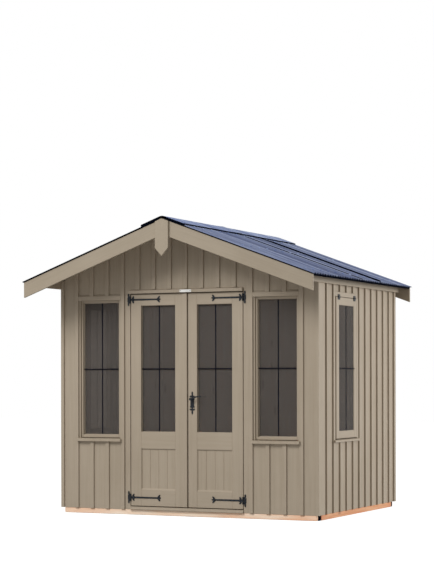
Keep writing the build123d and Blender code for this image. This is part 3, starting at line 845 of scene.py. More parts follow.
@dataclass(frozen=True)
class Enamel:
    """White enamel, very slightly mottled."""

    name: str
    colour: Colour
    soiled: Colour
    cloud_scale: float = 30.0
    soil_ramp: Ramp = (0.4, 0.8, 0.0, 0.4)
    gloss_ramp: Ramp = (0.3, 0.7, 0.25, 0.4)

    def material(self, effects: Effects) -> Material:
        """Return the finish.

        Args:
            effects: the shared groups, none of which enamel needs.

        Returns:
            The material.
        """
        material, tree, shader = new_material(self.name)
        clouds = tree.noise(tree.whole(), self.cloud_scale, detail=3.0)
        soiling = tree.between(clouds, *self.soil_ramp)
        tree.feed(tree.blend(soiling, self.colour, self.soiled), shader, "Base Color")
        tree.feed(tree.between(clouds, *self.gloss_ramp), shader, "Roughness")
        return material


class Finishes:
    """All finishes of the summerhouse, each made once."""

    def __init__(self) -> None:
        """Mix the finishes."""
        effects = Effects()
        taupe = {"colour": srgb(172, 158, 139), "shade": srgb(152, 138, 118), "dust": srgb(178, 165, 147)}
        self.boards = Paint("taupe paint on wall boards", grain=Grain.UPRIGHT, grain_strength=0.45,
                            **taupe).material(effects)
        self.trim = Paint("taupe paint on joinery", grain=Grain.MEMBER, **taupe).material(effects)
        # A darker copy of the taupe paint: painted shade on the verge boards and finials.
        shaded_taupe = {"colour": srgb(161, 148, 129), "shade": srgb(143, 130, 111),
                      "dust": srgb(168, 155, 137)}
        self.verge = Paint("taupe paint on verge boards", grain=Grain.MEMBER, **shaded_taupe).material(effects)
        self.pine = Pine("bare pine", pale=srgb(254, 234, 212), ring=srgb(246, 204, 168),
                         heart=srgb(240, 174, 128), knot=srgb(142, 76, 44)).material(effects)
        self.red_pine = Pine("bare red pine", pale=srgb(226, 170, 126), ring=srgb(213, 134, 88),
                             heart=srgb(201, 108, 63), knot=srgb(62, 28, 16)).material(effects)
        # The near-black trough colour darkens the sheets' troughs as painted shade.
        slate = {"colour": srgb(103, 115, 148), "weathered": srgb(174, 183, 209), "streak": srgb(46, 55, 90),
                 "painted_trough_shade": srgb(22, 28, 52)}
        # A paler copy of the slate: a painted highlight on the ridge cap, which the sheets' fixings wear too.
        highlight_slate = {"colour": srgb(118, 134, 176), "weathered": srgb(178, 192, 222),
                      "streak": srgb(66, 82, 128), "painted_trough_shade": srgb(40, 50, 84)}
        self.roofing = Roofing("blue-grey corrugated sheet", trough=0.85, **slate).material(effects)
        self.highlight_roofing = Roofing("blue-grey ridge sheet", **highlight_slate).material(effects)
        # Black: the sheets' core, and painted shade in the roof packing and in the gaps at the bearers'
        # corners.
        self.bitumen = Iron("black bitumen core", colour=srgb(6, 8, 16), worn=srgb(18, 22, 36), metallic=0.0,
                            low_gloss=0.9, high_gloss=0.75, hammer_scale=150.0, hammer_depth=0.0005,
                            sheen=0.0).material(effects)
        self.iron = Iron("black ironwork", colour=srgb(9, 10, 12), worn=srgb(48, 58, 70), metallic=0.12,
                         low_gloss=0.6, high_gloss=0.34, hammer_scale=120.0, hammer_depth=0.0008,
                         sheen=0.25).material(effects)
        self.lead = Iron("drawn lead", colour=srgb(11, 11, 20), worn=srgb(28, 30, 46), metallic=0.0,
                         low_gloss=0.8, high_gloss=0.6, hammer_scale=70.0, hammer_depth=0.0003,
                         sheen=0.05).material(effects)
        self.glass = Glass("smoky glass", tint=srgb(138, 132, 127)).material(effects)
        self.enamel = Enamel("white enamel", colour=srgb(240, 240, 236), soiled=srgb(214, 212, 205),
                             ).material(effects)


# Pieces


def stand(name: str, data: bpy.types.ID) -> bpy.types.Object:
    """Put a new object in the scene.

    Args:
        name: its name.
        data: its mesh, camera or light.

    Returns:
        The object.
    """
    holder = bpy.data.objects.new(name, data)
    bpy.context.scene.collection.objects.link(holder)
    return holder


def place(name: str, shape: Shape, material: Material, slot: Slot, replaces: Sequence[str] = (),
          body: Body = Body.HOUSE, smooth: bool = False) -> bpy.types.Object:
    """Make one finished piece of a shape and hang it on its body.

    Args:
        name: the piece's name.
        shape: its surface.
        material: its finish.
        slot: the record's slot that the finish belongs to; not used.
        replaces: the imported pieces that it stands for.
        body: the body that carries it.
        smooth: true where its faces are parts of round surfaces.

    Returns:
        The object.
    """
    mesh = bpy.data.meshes.new(name)
    mesh.vertices.add(len(shape.points))
    mesh.vertices.foreach_set("co", shape.points.astype(np.float32).ravel())
    mesh.loops.add(len(shape.corners))
    mesh.loops.foreach_set("vertex_index", shape.corners.astype(np.int32))
    mesh.polygons.add(len(shape.sizes))
    starts = np.concatenate(([0], np.cumsum(shape.sizes)[:-1]))
    mesh.polygons.foreach_set("loop_start", starts.astype(np.int32))
    mesh.polygons.foreach_set("use_smooth", np.full(len(shape.sizes), smooth))
    mesh.uv_layers.new(name=GRAIN_MAP).uv.foreach_set("vector", shape.grain.astype(np.float32).ravel())
    mesh.update(calc_edges=True)
    mesh.validate()
    if smooth:
        mesh.set_sharp_from_angle(angle=SMOOTH_UP_TO)
    mesh.materials.append(material)
    piece = stand(name, mesh)
    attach(piece, body.value)
    if replaces:
        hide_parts(*replaces)
    LOG.info("%s: %d faces, on %s", name, len(shape.sizes), body.value)
    return piece


def eased_copy(node: str, name: str, material: Material, ease: float,
               body: Body = Body.HOUSE) -> bpy.types.Object:
    """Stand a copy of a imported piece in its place, with its arrises eased.

    Args:
        node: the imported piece.
        name: the copy's name.
        material: its finish.
        ease: the width taken off each arris.
        body: the body that carries it.

    Returns:
        The object.
    """
    mesh = bpy.data.meshes.new(name)
    work = bmesh.new()
    work.from_mesh(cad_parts[node].data)
    bmesh.ops.remove_doubles(work, verts=work.verts, dist=MERGED_WITHIN)
    bmesh.ops.dissolve_limit(work, angle_limit=FLAT_WITHIN, verts=work.verts, edges=work.edges)
    for face in work.faces:
        face.smooth = False
    work.to_mesh(mesh)
    work.free()
    mesh.materials.clear()
    mesh.materials.append(material)
    piece = stand(name, mesh)
    bevel = piece.modifiers.new("eased arrises", "BEVEL")
    bevel.width = ease
    bevel.segments = EASE_STEPS
    bevel.limit_method = "ANGLE"
    bevel.angle_limit = EASED_FROM
    bevel.use_clamp_overlap = False
    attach(piece, body.value)
    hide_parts(node)
    LOG.info("%s: eased copy of %s, on %s", name, node, body.value)
    return piece


def dress(nodes: Sequence[str], material: Material) -> None:
    """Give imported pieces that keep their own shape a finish.

    Args:
        nodes: the pieces.
        material: the finish.
    """
    for node in nodes:
        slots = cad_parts[node].data.materials
        slots.clear()
        slots.append(material)
        LOG.info("%s: finish %s", node, material.name)


@dataclass(frozen=True)
class Site:
    """Planes and levels of the house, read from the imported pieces, and sizes that walls and windows share."""

    side_face: float
    wall_face: float
    wall_inner: float
    front_end: float
    front_strip: float
    front_board: float
    front_inner: float
    back_strip: float
    back_board: float
    back_inner: float
    base: float
    floor: float
    head: float
    eaves: float
    beam_half: float
    beam_under: float
    slope: float
    head_cover: float = 0.038
    side_head_gap: float = 0.004

    @classmethod
    def read(cls) -> Site:
        """Return the site of the loaded frame."""
        corner_low, corner_high = corners_of("corner_boards")
        wall_low, wall_high = corners_of("right_wall")
        gable_low, gable_high = corners_of("front_gable")
        beam_low, beam_high = corners_of("ridge_beam")
        slope = (beam_high[2] - corner_high[2]) / (corner_high[0] - beam_high[0])
        return cls(side_face=corner_high[0], wall_face=wall_high[0], wall_inner=wall_low[0],
                   front_end=gable_high[0], front_strip=corner_low[1], front_board=gable_low[1],
                   front_inner=wall_low[1], back_strip=corner_high[1],
                   back_board=corners_of("back_wall")[1][1], back_inner=wall_high[1], base=corner_low[2],
                   floor=corners_of("floor")[1][2], head=gable_low[2], eaves=corner_high[2],
                   beam_half=beam_high[0], beam_under=beam_low[2], slope=slope)

    @property
    def ridge(self) -> float:
        """The height at which the two undersides of the roof boards meet."""
        return self.eaves + self.side_face * self.slope

    def roof_under(self, x: Array) -> Array:
        """Return the roof boards' underside: the eaves' level plus the slope times the way in."""
        return self.eaves + (self.side_face - np.abs(x)) * self.slope


@dataclass
class Base:
    """Bare pine bearers with black blocks of painted shade in the gaps at their corners, joists and floor
    boards.
    """

    site: Site
    finishes: Finishes
    bearer_width: float = 0.090
    end_bearer_width: float = 0.034
    bearer_gap: float = 0.040
    joist_width: float = 0.045
    joist_count: int = 3
    floor_board: float = 0.095
    ease: float = 0.002
    bearer_ease: float = 0.004
    shade_block_set_in: float = 0.005

    def build(self) -> None:
        """Lay the bearers, the joists and the floor boards, each one a board with its own grain."""
        low, high = corners_of("bearers")
        end = self.site.front_end
        across_low = rows((-end, -end), (low[1], high[1] - self.end_bearer_width), low[2])
        across_high = rows((end, end), (low[1] + self.end_bearer_width, high[1]), high[2])
        set_in = self.end_bearer_width + self.bearer_gap
        along_low = rows((low[0], high[0] - self.bearer_width), low[1] + set_in, low[2])
        along_high = rows((low[0] + self.bearer_width, high[0]), high[1] - set_in, high[2])
        across = boxes(across_low, across_high, Axis.X, self.bearer_ease)
        place("end_bearers", across, self.finishes.pine, Slot.PINE, ["bearers"])
        along = boxes(along_low, along_high, Axis.Y, self.bearer_ease)
        place("side_bearers", along, self.finishes.red_pine, Slot.PINE)
        # Painted shade: black blocks fill the gaps between the end bearers and the side bearers, where a dark
        # shadow lies.
        inner, outer = high[0] - self.bearer_width, high[0] - self.shade_block_set_in
        gaps = np.array((low[1] + self.end_bearer_width, high[1] - set_in))
        left, right = np.repeat((-outer, inner), 2), np.repeat((-inner, outer), 2)
        shade_blocks = boxes(rows(left, np.tile(gaps, 2), low[2]),
                        rows(right, np.tile(gaps + self.bearer_gap, 2), high[2]), Axis.Y, self.ease)
        place("bearer_corner_shade", shade_blocks, self.finishes.bitumen, Slot.ROOFING)

        joist_low, joist_high = corners_of("floor_joists")
        half = self.joist_width / 2
        centres = np.linspace(joist_low[0] + half, joist_high[0] - half, self.joist_count)
        joists = boxes(rows(centres - half, joist_low[1], joist_low[2]),
                       rows(centres + half, joist_high[1], joist_high[2]), Axis.Y, self.ease)
        place("joist_timbers", joists, self.finishes.pine, Slot.PINE, ["floor_joists"])

        floor_low, floor_high = corners_of("floor")
        count = round((floor_high[1] - floor_low[1]) / self.floor_board)
        edges = np.linspace(floor_low[1], floor_high[1], count + 1)
        boards = boxes(rows(floor_low[0], edges[:-1], floor_low[2]),
                       rows(floor_high[0], edges[1:], floor_high[2]), Axis.X, self.ease)
        place("floor_boards", boards, self.finishes.pine, Slot.PINE, ["floor"])


@dataclass
class Walls:
    """Painted wall boards with their cover strips, corner boards and the lining inside."""

    site: Site
    finishes: Finishes
    strip_width: float = 0.036
    ease: float = 0.002
    front_pitch: float = 0.150
    front_count: int = 15
    side_first: float = 0.180
    side_pitch: float = 0.150
    side_count: int = 11
    side_sill_depth: float = 0.022
    corner_width: float = 0.130
    back_corner_width: float = 0.040
    roof_gap: float = 0.0006
    sash_gap: float = 0.002
    nail_radius: float = 0.0034
    nail_height: float = 0.0016
    nail_pitch: float = 0.40
    nail_margin: float = 0.045
    nail_sides: int = 8
    lining_board: float = 0.095
    lining_thickness: float = 0.008
    lining_ease: float = 0.0025
    wall_nodes: Sequence[str] = ("front_wall_left", "front_wall_right", "front_gable", "back_wall",
                                 "left_wall", "right_wall")

    def build(self) -> None:
        """Dress the walls and nail the strips over their joints."""
        dress(self.wall_nodes, self.finishes.boards)
        trim = self.finishes.trim
        place("front_cover_strips", self._front_strips(), trim, Slot.TRIM)
        place("back_cover_strips", self._back_strips(), trim, Slot.TRIM)
        for side in Side:
            place(f"{side.word}_cover_strips", self._side_strips(side), trim, Slot.TRIM)
        place("corner_covers", self._corners(), trim, Slot.TRIM, ["corner_boards"])
        place("wall_lining", self._lining(), self.finishes.pine, Slot.PINE)

    @property
    def _centres(self) -> Array:
        """X of the middles of the front's and the back's strips, even to both sides of the ridge."""
        return (np.arange(self.front_count) - (self.front_count - 1) / 2) * self.front_pitch

    def _tops(self, centres: Array) -> Array:
        """Return where strips on the front or back end at their outer edges: the roof or the ridge beam."""
        return np.minimum(self.site.roof_under(np.abs(centres) + self.strip_width / 2), self.site.beam_under)

    def _gable_cut(self, shape: Shape) -> Shape:
        """Cut uprights to the roof's underside, or to the ridge beam's where they stand below it.

        Args:
            shape: the uprights, too long.

        Returns:
            The uprights with their tops on the slope.
        """
        x = shape.points[:, 0]
        under = np.where(np.abs(x) < self.site.beam_half, self.site.beam_under, self.site.roof_under(x))
        return shape.trimmed(under - self.roof_gap)

    def _uprights(self, centres: Array, back: float, face: float, foot: float, top: float) -> Shape:
        """Return strips on a front or back wall, from a foot to a top.

        Args:
            centres: X of each strip's middle.
            back, face: Y of the strips' two faces.
            foot, top: Z of their ends.

        Returns:
            The strips.
        """
        half = self.strip_width / 2
        near, far = sorted((back, face))
        return boxes(rows(centres - half, near, foot), rows(centres + half, far, top), Axis.Z, self.ease)

    def _nails(self, middles: Array, foot: float, tops: Array | float, face: float, wide: Axis,
               out: int) -> Shape:
        """Return painted nail heads up the middle of each strip, at even shares of its height.

        Args:
            middles: places of the strips' middles along the wall.
            foot, tops: Z of their ends.
            face: place of their faces.
            wide: the axis along the wall.
            out: the way that the wall looks, -1 or 1.

        Returns:
            The heads.
        """
        low, high = foot + self.nail_margin, tops - self.nail_margin + 0 * middles
        count = max(round(float(np.max(high) - low) / self.nail_pitch), 1) + 1
        levels = low + np.linspace(0.0, 1.0, count)[:, None] * (high - low)
        along = np.broadcast_to(middles, levels.shape).ravel()
        columns = (along, face, levels.ravel()) if wide is Axis.X else (face, along, levels.ravel())
        facing = (0.0, float(out), 0.0) if wide is Axis.X else (float(out), 0.0, 0.0)
        return domes(rows(*columns), facing, self.nail_radius, self.nail_height, self.nail_sides)

    def _front_strips(self) -> Shape:
        """Return the front's strips: whole ones, ones cut by the windows, and short ones over the doors."""
        site = self.site
        centres = self._centres
        reach = np.abs(centres)
        jamb = corners_of("right_door_jamb")[1][0]
        window_low, window_high = corners_of("front_right_window_frame")
        over_doors = reach < jamb
        at_window = (reach > window_low[0]) & (reach < window_high[0])
        whole = ~over_doors & ~at_window
        drip = corners_of("door_head")[1][2]
        sill = window_low[2] - self.sill_depth
        lintel = corners_of("front_right_sash")[1][2] + site.head_cover
        faces = (site.front_board, site.front_strip)
        runs = [(centres[whole], site.base), (centres[at_window], lintel), (centres[over_doors], drip)]
        strips = Shape.joined([self._uprights(middles, *faces, foot, site.ridge) for middles, foot in runs])
        below = self._uprights(centres[at_window], *faces, site.base, sill)
        nails = [self._nails(middles, foot, self._tops(middles), site.front_strip, Axis.X, -1)
                 for middles, foot in runs]
        nails.append(self._nails(centres[at_window], site.base, sill, site.front_strip, Axis.X, -1))
        return Shape.joined((self._gable_cut(strips), below, *nails))

    @property
    def sill_depth(self) -> float:
        """The front sills' thickness: the frames' foot less the lowest point of their sills."""
        return corners_of("front_right_window_frame")[0][2] - corners_of("window_sills")[0][2]

    def _back_strips(self) -> Shape:
        """Return the back's strips, all whole."""
        site = self.site
        centres = self._centres
        strips = self._uprights(centres, site.back_board, site.back_strip, site.base, site.ridge)
        nails = self._nails(centres, site.base, self._tops(centres), site.back_strip, Axis.X, 1)
        return Shape.joined((self._gable_cut(strips), nails))

    def _side_strips(self, side: Side) -> Shape:
        """Return one side's strips: whole ones, ones cut by the window, and one at the back of its sash.

        Args:
            side: left or right.

        Returns:
            The strips.
        """
        site = self.site
        sash_low, sash_high = corners_of(f"{side.word}_sash")
        frame_low, frame_high = corners_of(f"{side.word}_window_frame")
        sill_low = frame_low[2] - self.side_sill_depth
        starts = site.front_strip + self.side_first + self.side_pitch * np.arange(self.side_count)
        back_cover = sash_high[1] + self.sash_gap
        cut = (starts + self.strip_width > sash_low[1]) & (starts < back_cover + self.strip_width)
        runs = [(starts[~cut], site.base, site.eaves), (starts[cut], site.base, sill_low),
                (starts[cut], frame_high[2], site.eaves),
                (np.array((back_cover,)), frame_low[2], sash_high[2] + site.side_head_gap)]
        near, far = sorted((side * site.wall_face, side * site.side_face))
        width = self.strip_width
        strips = [boxes(rows(near, start, foot), rows(far, start + width, top), Axis.Z, self.ease)
                  for start, foot, top in runs]
        nails = [self._nails(start + width / 2, foot, top, side * site.side_face, Axis.Y, side)
                 for start, foot, top in runs]
        return Shape.joined(strips + nails)

    def _corners(self) -> Shape:
        """Return the corner boards: an L in plan, over a wall's end and its neighbour's face, carried up."""
        site = self.site
        corners = ((site.front_strip, site.front_inner, site.front_strip + self.corner_width),
                   (site.back_strip, site.back_inner, site.back_strip - self.back_corner_width))
        shapes = []
        for side in Side:
            end, outer, face = side * site.front_end, side * site.side_face, side * site.wall_face
            for edge, inner, lap in corners:
                profile = np.array(((end, edge), (outer, edge), (outer, lap), (face, lap), (face, inner),
                                    (end, inner)))
                shapes.append(carried(profile, site.base, site.eaves, Axis.Z))
        return Shape.joined(shapes)

    def _lining(self) -> Shape:
        """Return the lining boards on the four walls' inner faces, cut round the windows and the doorway."""
        site = self.site
        thick = self.lining_thickness
        shapes = []
        for side in Side:
            frame_low, frame_high = corners_of(f"{side.word}_window_frame")
            count = round((site.back_inner - site.front_inner) / self.lining_board)
            edges = np.linspace(site.front_inner + thick, site.back_inner - thick, count + 1)
            edges = np.sort(np.concatenate((edges, (frame_low[1], frame_high[1]))))
            middle = (edges[:-1] + edges[1:]) / 2
            cut = (middle > frame_low[1]) & (middle < frame_high[1])
            top = site.roof_under(np.array(site.wall_inner))
            sill = frame_low[2] - self.side_sill_depth
            near, far = sorted((side * site.wall_inner, side * (site.wall_inner - thick)))
            runs = ((~cut, site.floor, top), (cut, site.floor, sill), (cut, frame_high[2], top))
            shapes += [boxes(rows(near, edges[:-1][pick], foot), rows(far, edges[1:][pick], head), Axis.Z,
                             self.lining_ease) for pick, foot, head in runs]
        half_count = round((site.wall_inner - site.beam_half) / self.lining_board)
        half_edges = np.linspace(site.beam_half, site.wall_inner - thick, half_count + 1)
        window_low, window_high = corners_of("front_right_window_frame")
        jamb = corners_of("right_door_jamb")[1][0]
        sill = window_low[2] - self.sill_depth
        openings_at = (jamb, window_low[0], window_high[0])
        front = np.sort(np.concatenate((half_edges[half_edges > jamb], openings_at)))
        for inner, deep, edges, openings in (
                (site.back_inner, site.back_inner - thick, half_edges, False),
                (site.front_inner, site.front_inner + thick, front, True)):
            faces = sorted((inner, deep))
            middle = (edges[:-1] + edges[1:]) / 2
            cut = openings & (middle > window_low[0]) & (middle < window_high[0])
            for pick, foot, top in ((~cut, site.floor, site.head), (cut, site.floor, sill)):
                shapes.append(self._mirrored_boards(edges[:-1][pick], edges[1:][pick], faces, foot, top))
            over = self._mirrored_boards(half_edges[:-1], half_edges[1:], faces, site.head, site.ridge)
            middle_board = boxes(rows(-site.beam_half, faces[0], site.head),
                                 rows(site.beam_half, faces[1], site.beam_under - self.roof_gap), Axis.Z,
                                 self.lining_ease)
            under = site.roof_under(over.points[:, 0]) - self.roof_gap
            shapes += [over.trimmed(under), middle_board]
            if not openings:
                shapes.append(boxes(rows(-site.beam_half, faces[0], site.floor),
                                    rows(site.beam_half, faces[1], site.head), Axis.Z, self.lining_ease))
        return Shape.joined(shapes)

    def _mirrored_boards(self, inner: Array, outer: Array, faces: Sequence[float], foot: float,
                         top: float) -> Shape:
        """Return upright lining boards on both sides of the ridge.

        Args:
            inner, outer: distances of the boards' edges from the ridge.
            faces: Y of their two faces.
            foot, top: Z of their ends.

        Returns:
            The boards.
        """
        low = np.concatenate((inner, -outer))
        high = np.concatenate((outer, -inner))
        return boxes(rows(low, faces[0], foot), rows(high, faces[1], top), Axis.Z, self.lining_ease)


@dataclass
class Doorway:
    """Jambs, stops, threshold, the drip board over the doors and the bare plate on it."""

    finishes: Finishes
    ease: float = 0.002
    plate_width: float = 0.108
    plate_height: float = 0.022
    plate_thickness: float = 0.003
    plate_corner: float = 0.004
    corner_step: float = 15.0
    plate_shift: float = 0.009
    screw_radius: float = 0.0035
    screw_inset: float = 0.010

    def build(self) -> None:
        """Stand the jambs and stops, ease the threshold and the drip board, and screw on the plate."""
        jambs = [f"{side.word}_door_jamb" for side in Side]
        posts = boards_in([corners_of(jamb) for jamb in jambs], Axis.Z, self.ease)
        place("door_posts", posts, self.finishes.trim, Slot.TRIM, jambs)
        eased_copy("door_stops", "stop_beads", self.finishes.boards, self.ease)
        eased_copy("threshold", "threshold_board", self.finishes.boards, self.ease)
        eased_copy("door_head", "drip_board", self.finishes.boards, self.ease)
        self._plate()

    def _plate(self) -> None:
        """Screw the bare plate to the drip board's face, near its middle."""
        low, _ = corners_of("door_head")
        turn = np.radians(np.arange(0.0, 360.0, self.corner_step))
        within = turn + radians(self.corner_step / 2)
        corner = np.sign(spread(np.cos(within), np.sin(within)))
        half = np.array((self.plate_width, self.plate_height)) / 2 - self.plate_corner
        outline = corner * half + self.plate_corner * spread(np.cos(turn), np.sin(turn))
        level = low[2] + self.plate_height / 2 + self.ease
        outline = outline + np.array((self.plate_shift, level))
        face = low[1] - self.plate_thickness
        plate = slab(outline, low[1], face, self.plate_thickness / 4)
        place("bare_plate", plate, self.finishes.enamel, Slot.TRIM)
        screw = self.plate_width / 2 - self.screw_inset
        feet = rows(self.plate_shift + np.array((-screw, screw)), face, level)
        heads = domes(feet, (0.0, -1.0, 0.0), self.screw_radius, self.screw_radius / 2)
        place("plate_screws", heads, self.finishes.lead, Slot.IRON, smooth=True)


@dataclass
class Windows:
    """Four windows: frames, sashes, beads and leaded bars."""

    site: Site
    finishes: Finishes
    front_stile: float = 0.016
    front_rails: Range = (0.024, 0.018)
    front_glass: float = 0.028
    side_stile: float = 0.062
    side_rails: Range = (0.058, 0.061)
    side_glass: float = 0.006
    side_head_cover: float = 0.039
    bead: float = 0.005
    ease: float = 0.0018

    def build(self) -> None:
        """Build each window from its frame's and sash's boxes, then glaze them."""
        dress(["window_panes"], self.finishes.glass)
        eased_copy("window_sills", "sill_boards", self.finishes.boards, self.ease)
        front_faces = (self.site.front_strip, self.site.front_board, self.site.front_inner)
        side_faces = np.array((self.site.side_face, self.site.wall_face, self.site.wall_inner))
        for side in Side:
            name = side.word
            head = corners_of(f"front_{name}_sash")[1][2]
            self._frame(f"front_{name}", Axis.X, front_faces, (head, head + self.site.head_cover))
            self._sash(f"front_{name}", Axis.X, -1, self.front_stile, self.front_rails, self.front_glass)
            head = corners_of(f"{name}_sash")[1][2] + self.site.side_head_gap
            self._frame(name, Axis.Y, side * side_faces, (head, head + self.side_head_cover))
            self._sash(name, Axis.Y, side, self.side_stile, self.side_rails, self.side_glass)

    def _frame(self, name: str, wide: Axis, faces: Sequence[float], cover: Range) -> None:
        """Stand one window's frame: two posts, a head between them, and a cover board over the head.

        Args:
            name: the window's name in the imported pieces.
            wide: the axis of its width.
            faces: the planes of the strips' faces, the wall's outer face and its inner face.
            cover: the levels of the cover board's foot and top.
        """
        low, high = corners_of(f"{name}_window_frame")
        sash_low, sash_high = corners_of(f"{name}_sash")
        strip, outer, inner = faces
        left, right = (low[wide], sash_low[wide]), (sash_high[wide], high[wide])
        posts = [wall_box(wide, across, (low[2], high[2]), (outer, inner)) for across in (left, right)]
        heads = [wall_box(wide, (left[1], right[0]), (cover[0], high[2]), (outer, inner)),
                 wall_box(wide, (left[0], right[1]), cover, (strip, outer))]
        joinery = Shape.joined((boards_in(posts, Axis.Z, self.ease), boards_in(heads, wide, self.ease)))
        place(f"{name}_frame_joinery", joinery, self.finishes.trim, Slot.TRIM, [f"{name}_window_frame"])

    def _sash(self, name: str, wide: Axis, outward: int, stile: float, rails: Range, recess: float) -> None:
        """Join one window's sash and glaze it.

        Args:
            name: the window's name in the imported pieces.
            wide: the axis of its width.
            outward: the sign of the outward direction on the other axis.
            stile: the sash's stile width.
            rails: the heights of its bottom and top rail.
            recess: how far the glass lies behind the sash's face.
        """
        low, high = corners_of(f"{name}_sash")
        deep = (low[wide.through], high[wide.through])
        left, right = low[wide] + stile, high[wide] - stile
        foot, top = low[2] + rails[0], high[2] - rails[1]
        stiles = [wall_box(wide, across, (low[2], high[2]), deep)
                  for across in ((low[wide], left), (right, high[wide]))]
        cross_rails = [wall_box(wide, (left, right), level, deep)
                       for level in ((low[2], foot), (top, high[2]))]
        joinery = Shape.joined((boards_in(stiles, Axis.Z, self.ease),
                                boards_in(cross_rails, wide, self.ease)))
        place(f"{name}_sash_joinery", joinery, self.finishes.trim, Slot.TRIM, [f"{name}_sash"])

        face = deep[0] if outward < 0 else deep[1]
        glazing = Glazing(wide, outward, face, face - outward * recess, np.array((left, foot)),
                          np.array((right, top)), self.bead)
        place(f"{name}_glazing_beads", glazing.beads(), self.finishes.trim, Slot.TRIM)
        place(f"{name}_leaded_bars", glazing.bars(), self.finishes.lead, Slot.IRON)


@dataclass
class Glazing:
    """Beads and leaded bars of one pane."""

    wide: Axis
    outward: int
    face: float
    glass: float
    low: Array
    high: Array
    bead: float
    bead_points: int = 5
    bead_height: float = 0.007
    bead_setback: float = 0.0015
    bar_level: float = 1.240
    glass_thickness: float = 0.004
    came_width: float = 0.009
    came_thickness: float = 0.003
    rod_radius: float = 0.0045

    def beads(self) -> Shape:
        """Return the bead: a quarter round in the corner of the sash and the glass, mitred round the pane."""
        turn = np.radians(np.linspace(0.0, 90.0, self.bead_points))
        rise = min(abs(self.face - self.glass) - self.bead_setback, self.bead_height)
        inset = np.concatenate(((0.0,), self.bead * np.sin(turn)))
        proud = np.concatenate(((0.0,), rise * np.cos(turn)))
        section = spread(inset, self.outward * proud)
        centre = np.zeros(3)
        centre[self.wide] = (self.low[0] + self.high[0]) / 2
        centre[2] = (self.low[1] + self.high[1]) / 2
        centre[self.wide.through] = self.glass
        half = (self.high - self.low) / 2
        return surrounds(centre, half[0], half[1], self.wide, section)

    def bars(self) -> Shape:
        """Return the bars: a flat upright one on each face of the glass, and a round one across the front."""
        middle = (self.low[0] + self.high[0]) / 2
        upright = (middle - self.came_width / 2, middle + self.came_width / 2)
        level = (self.low[1], self.high[1])
        back = self.glass - self.outward * self.glass_thickness
        start = self.glass + self.outward * self.came_thickness
        front_came = wall_box(self.wide, upright, level, (self.glass, start))
        back_came = wall_box(self.wide, upright, level, (back, back - self.outward * self.came_thickness))
        rod = wall_box(self.wide, (self.low[0], self.high[0]),
                       (self.bar_level - self.rod_radius, self.bar_level + self.rod_radius),
                       (start, start + self.outward * 2 * self.rod_radius))
        ease = self.came_thickness / 3
        return Shape.joined((boxes(*front_came, Axis.Z, ease), boxes(*back_came, Axis.Z, ease),
                             rods(*rod, self.wide)))


@dataclass
class Door:
    """One door leaf: stiles and rails, a boarded panel, a leaded pane and their beads."""

    side: Side
    finishes: Finishes
    ease: float = 0.0018
    bead: float = 0.002
    panel_bead: float = 0.006
    ledge_rise: float = 0.012

    def build(self) -> None:
        """Join the leaf, glaze it, and nail the meeting strip to the left one."""
        name, body, trim = self.side.word, self.side.door, self.finishes.trim
        dress([f"{name}_door_pane"], self.finishes.glass)
        dress([f"{name}_door_panel"], self.finishes.boards)
        leaf_low, leaf_high = corners_of(f"{name}_door_leaf")
        pane_low, pane_high = corners_of(f"{name}_door_pane")
        panel_low, panel_high = corners_of(f"{name}_door_panel")
        stiles = boxes(rows((leaf_low[0], pane_high[0]), leaf_low[1], leaf_low[2]),
                       rows((pane_low[0], leaf_high[0]), leaf_high[1], leaf_high[2]), Axis.Z, self.ease)
        rails = boxes(rows(pane_low[0], leaf_low[1], (leaf_low[2], panel_high[2], pane_high[2])),
                      rows(pane_high[0], leaf_high[1], (panel_low[2], pane_low[2], leaf_high[2])),
                      Axis.X, self.ease)
        leaf = Shape.joined((stiles, rails))
        place(f"{name}_leaf_joinery", leaf, trim, Slot.TRIM, [f"{name}_door_leaf"], body)
        flat = [Axis.X, Axis.Z]
        glazing = Glazing(Axis.X, -1, leaf_low[1], pane_low[1], pane_low[flat], pane_high[flat], self.bead)
        panel_edge = Glazing(Axis.X, -1, leaf_low[1], panel_low[1], panel_low[flat], panel_high[flat],
                             self.panel_bead)
        foot, rise = panel_low[2], panel_low[2] + self.ledge_rise
        slope = np.array(((leaf_low[1] + self.ease, foot), (panel_low[1], rise), (panel_low[1], foot)))
        ledge = carried(slope, panel_low[0], panel_high[0], Axis.X)
        beads = Shape.joined((glazing.beads(), panel_edge.beads(), ledge))
        place(f"{name}_door_beads", beads, trim, Slot.TRIM, body=body)
        place(f"{name}_door_bars", glazing.bars(), self.finishes.lead, Slot.IRON, body=body)
        if self.side is Side.LEFT:
            strip = boxes(*corners_of("meeting_strip"), Axis.Z, self.ease)
            place("meeting_cover", strip, trim, Slot.TRIM, ["meeting_strip"], body)


@dataclass(frozen=True)
class Slope:
    """One slope of the roof: its sheets' ends, the ridge's level, and distances down it from the ridge."""

    side: Side
    start: float
    end: float
    ridge: float
    pitch: float
    gap: float
    wing: float
    reach: float

    @property
    def off(self) -> Point:
        """Return the unit direction off the boards."""
        return self.side * sin(self.pitch), 0.0, cos(self.pitch)

    def at(self, s: Array, y: Array, rise: Array) -> Array:
        """Return points at distances down the slope, at y along the ridge and at a rise off the boards.

        Args:
            s, y, rise: the places, as arrays that fit one another.

        Returns:
            The points, with the arrays' joint shape.
        """
        s, y, rise = np.broadcast_arrays(s, y, rise)
        down = np.array((self.side * cos(self.pitch), 0.0, -sin(self.pitch)))
        points = s[..., None] * down + rise[..., None] * np.array(self.off)
        points[..., 1] = y
        points[..., 2] += self.ridge
        return points


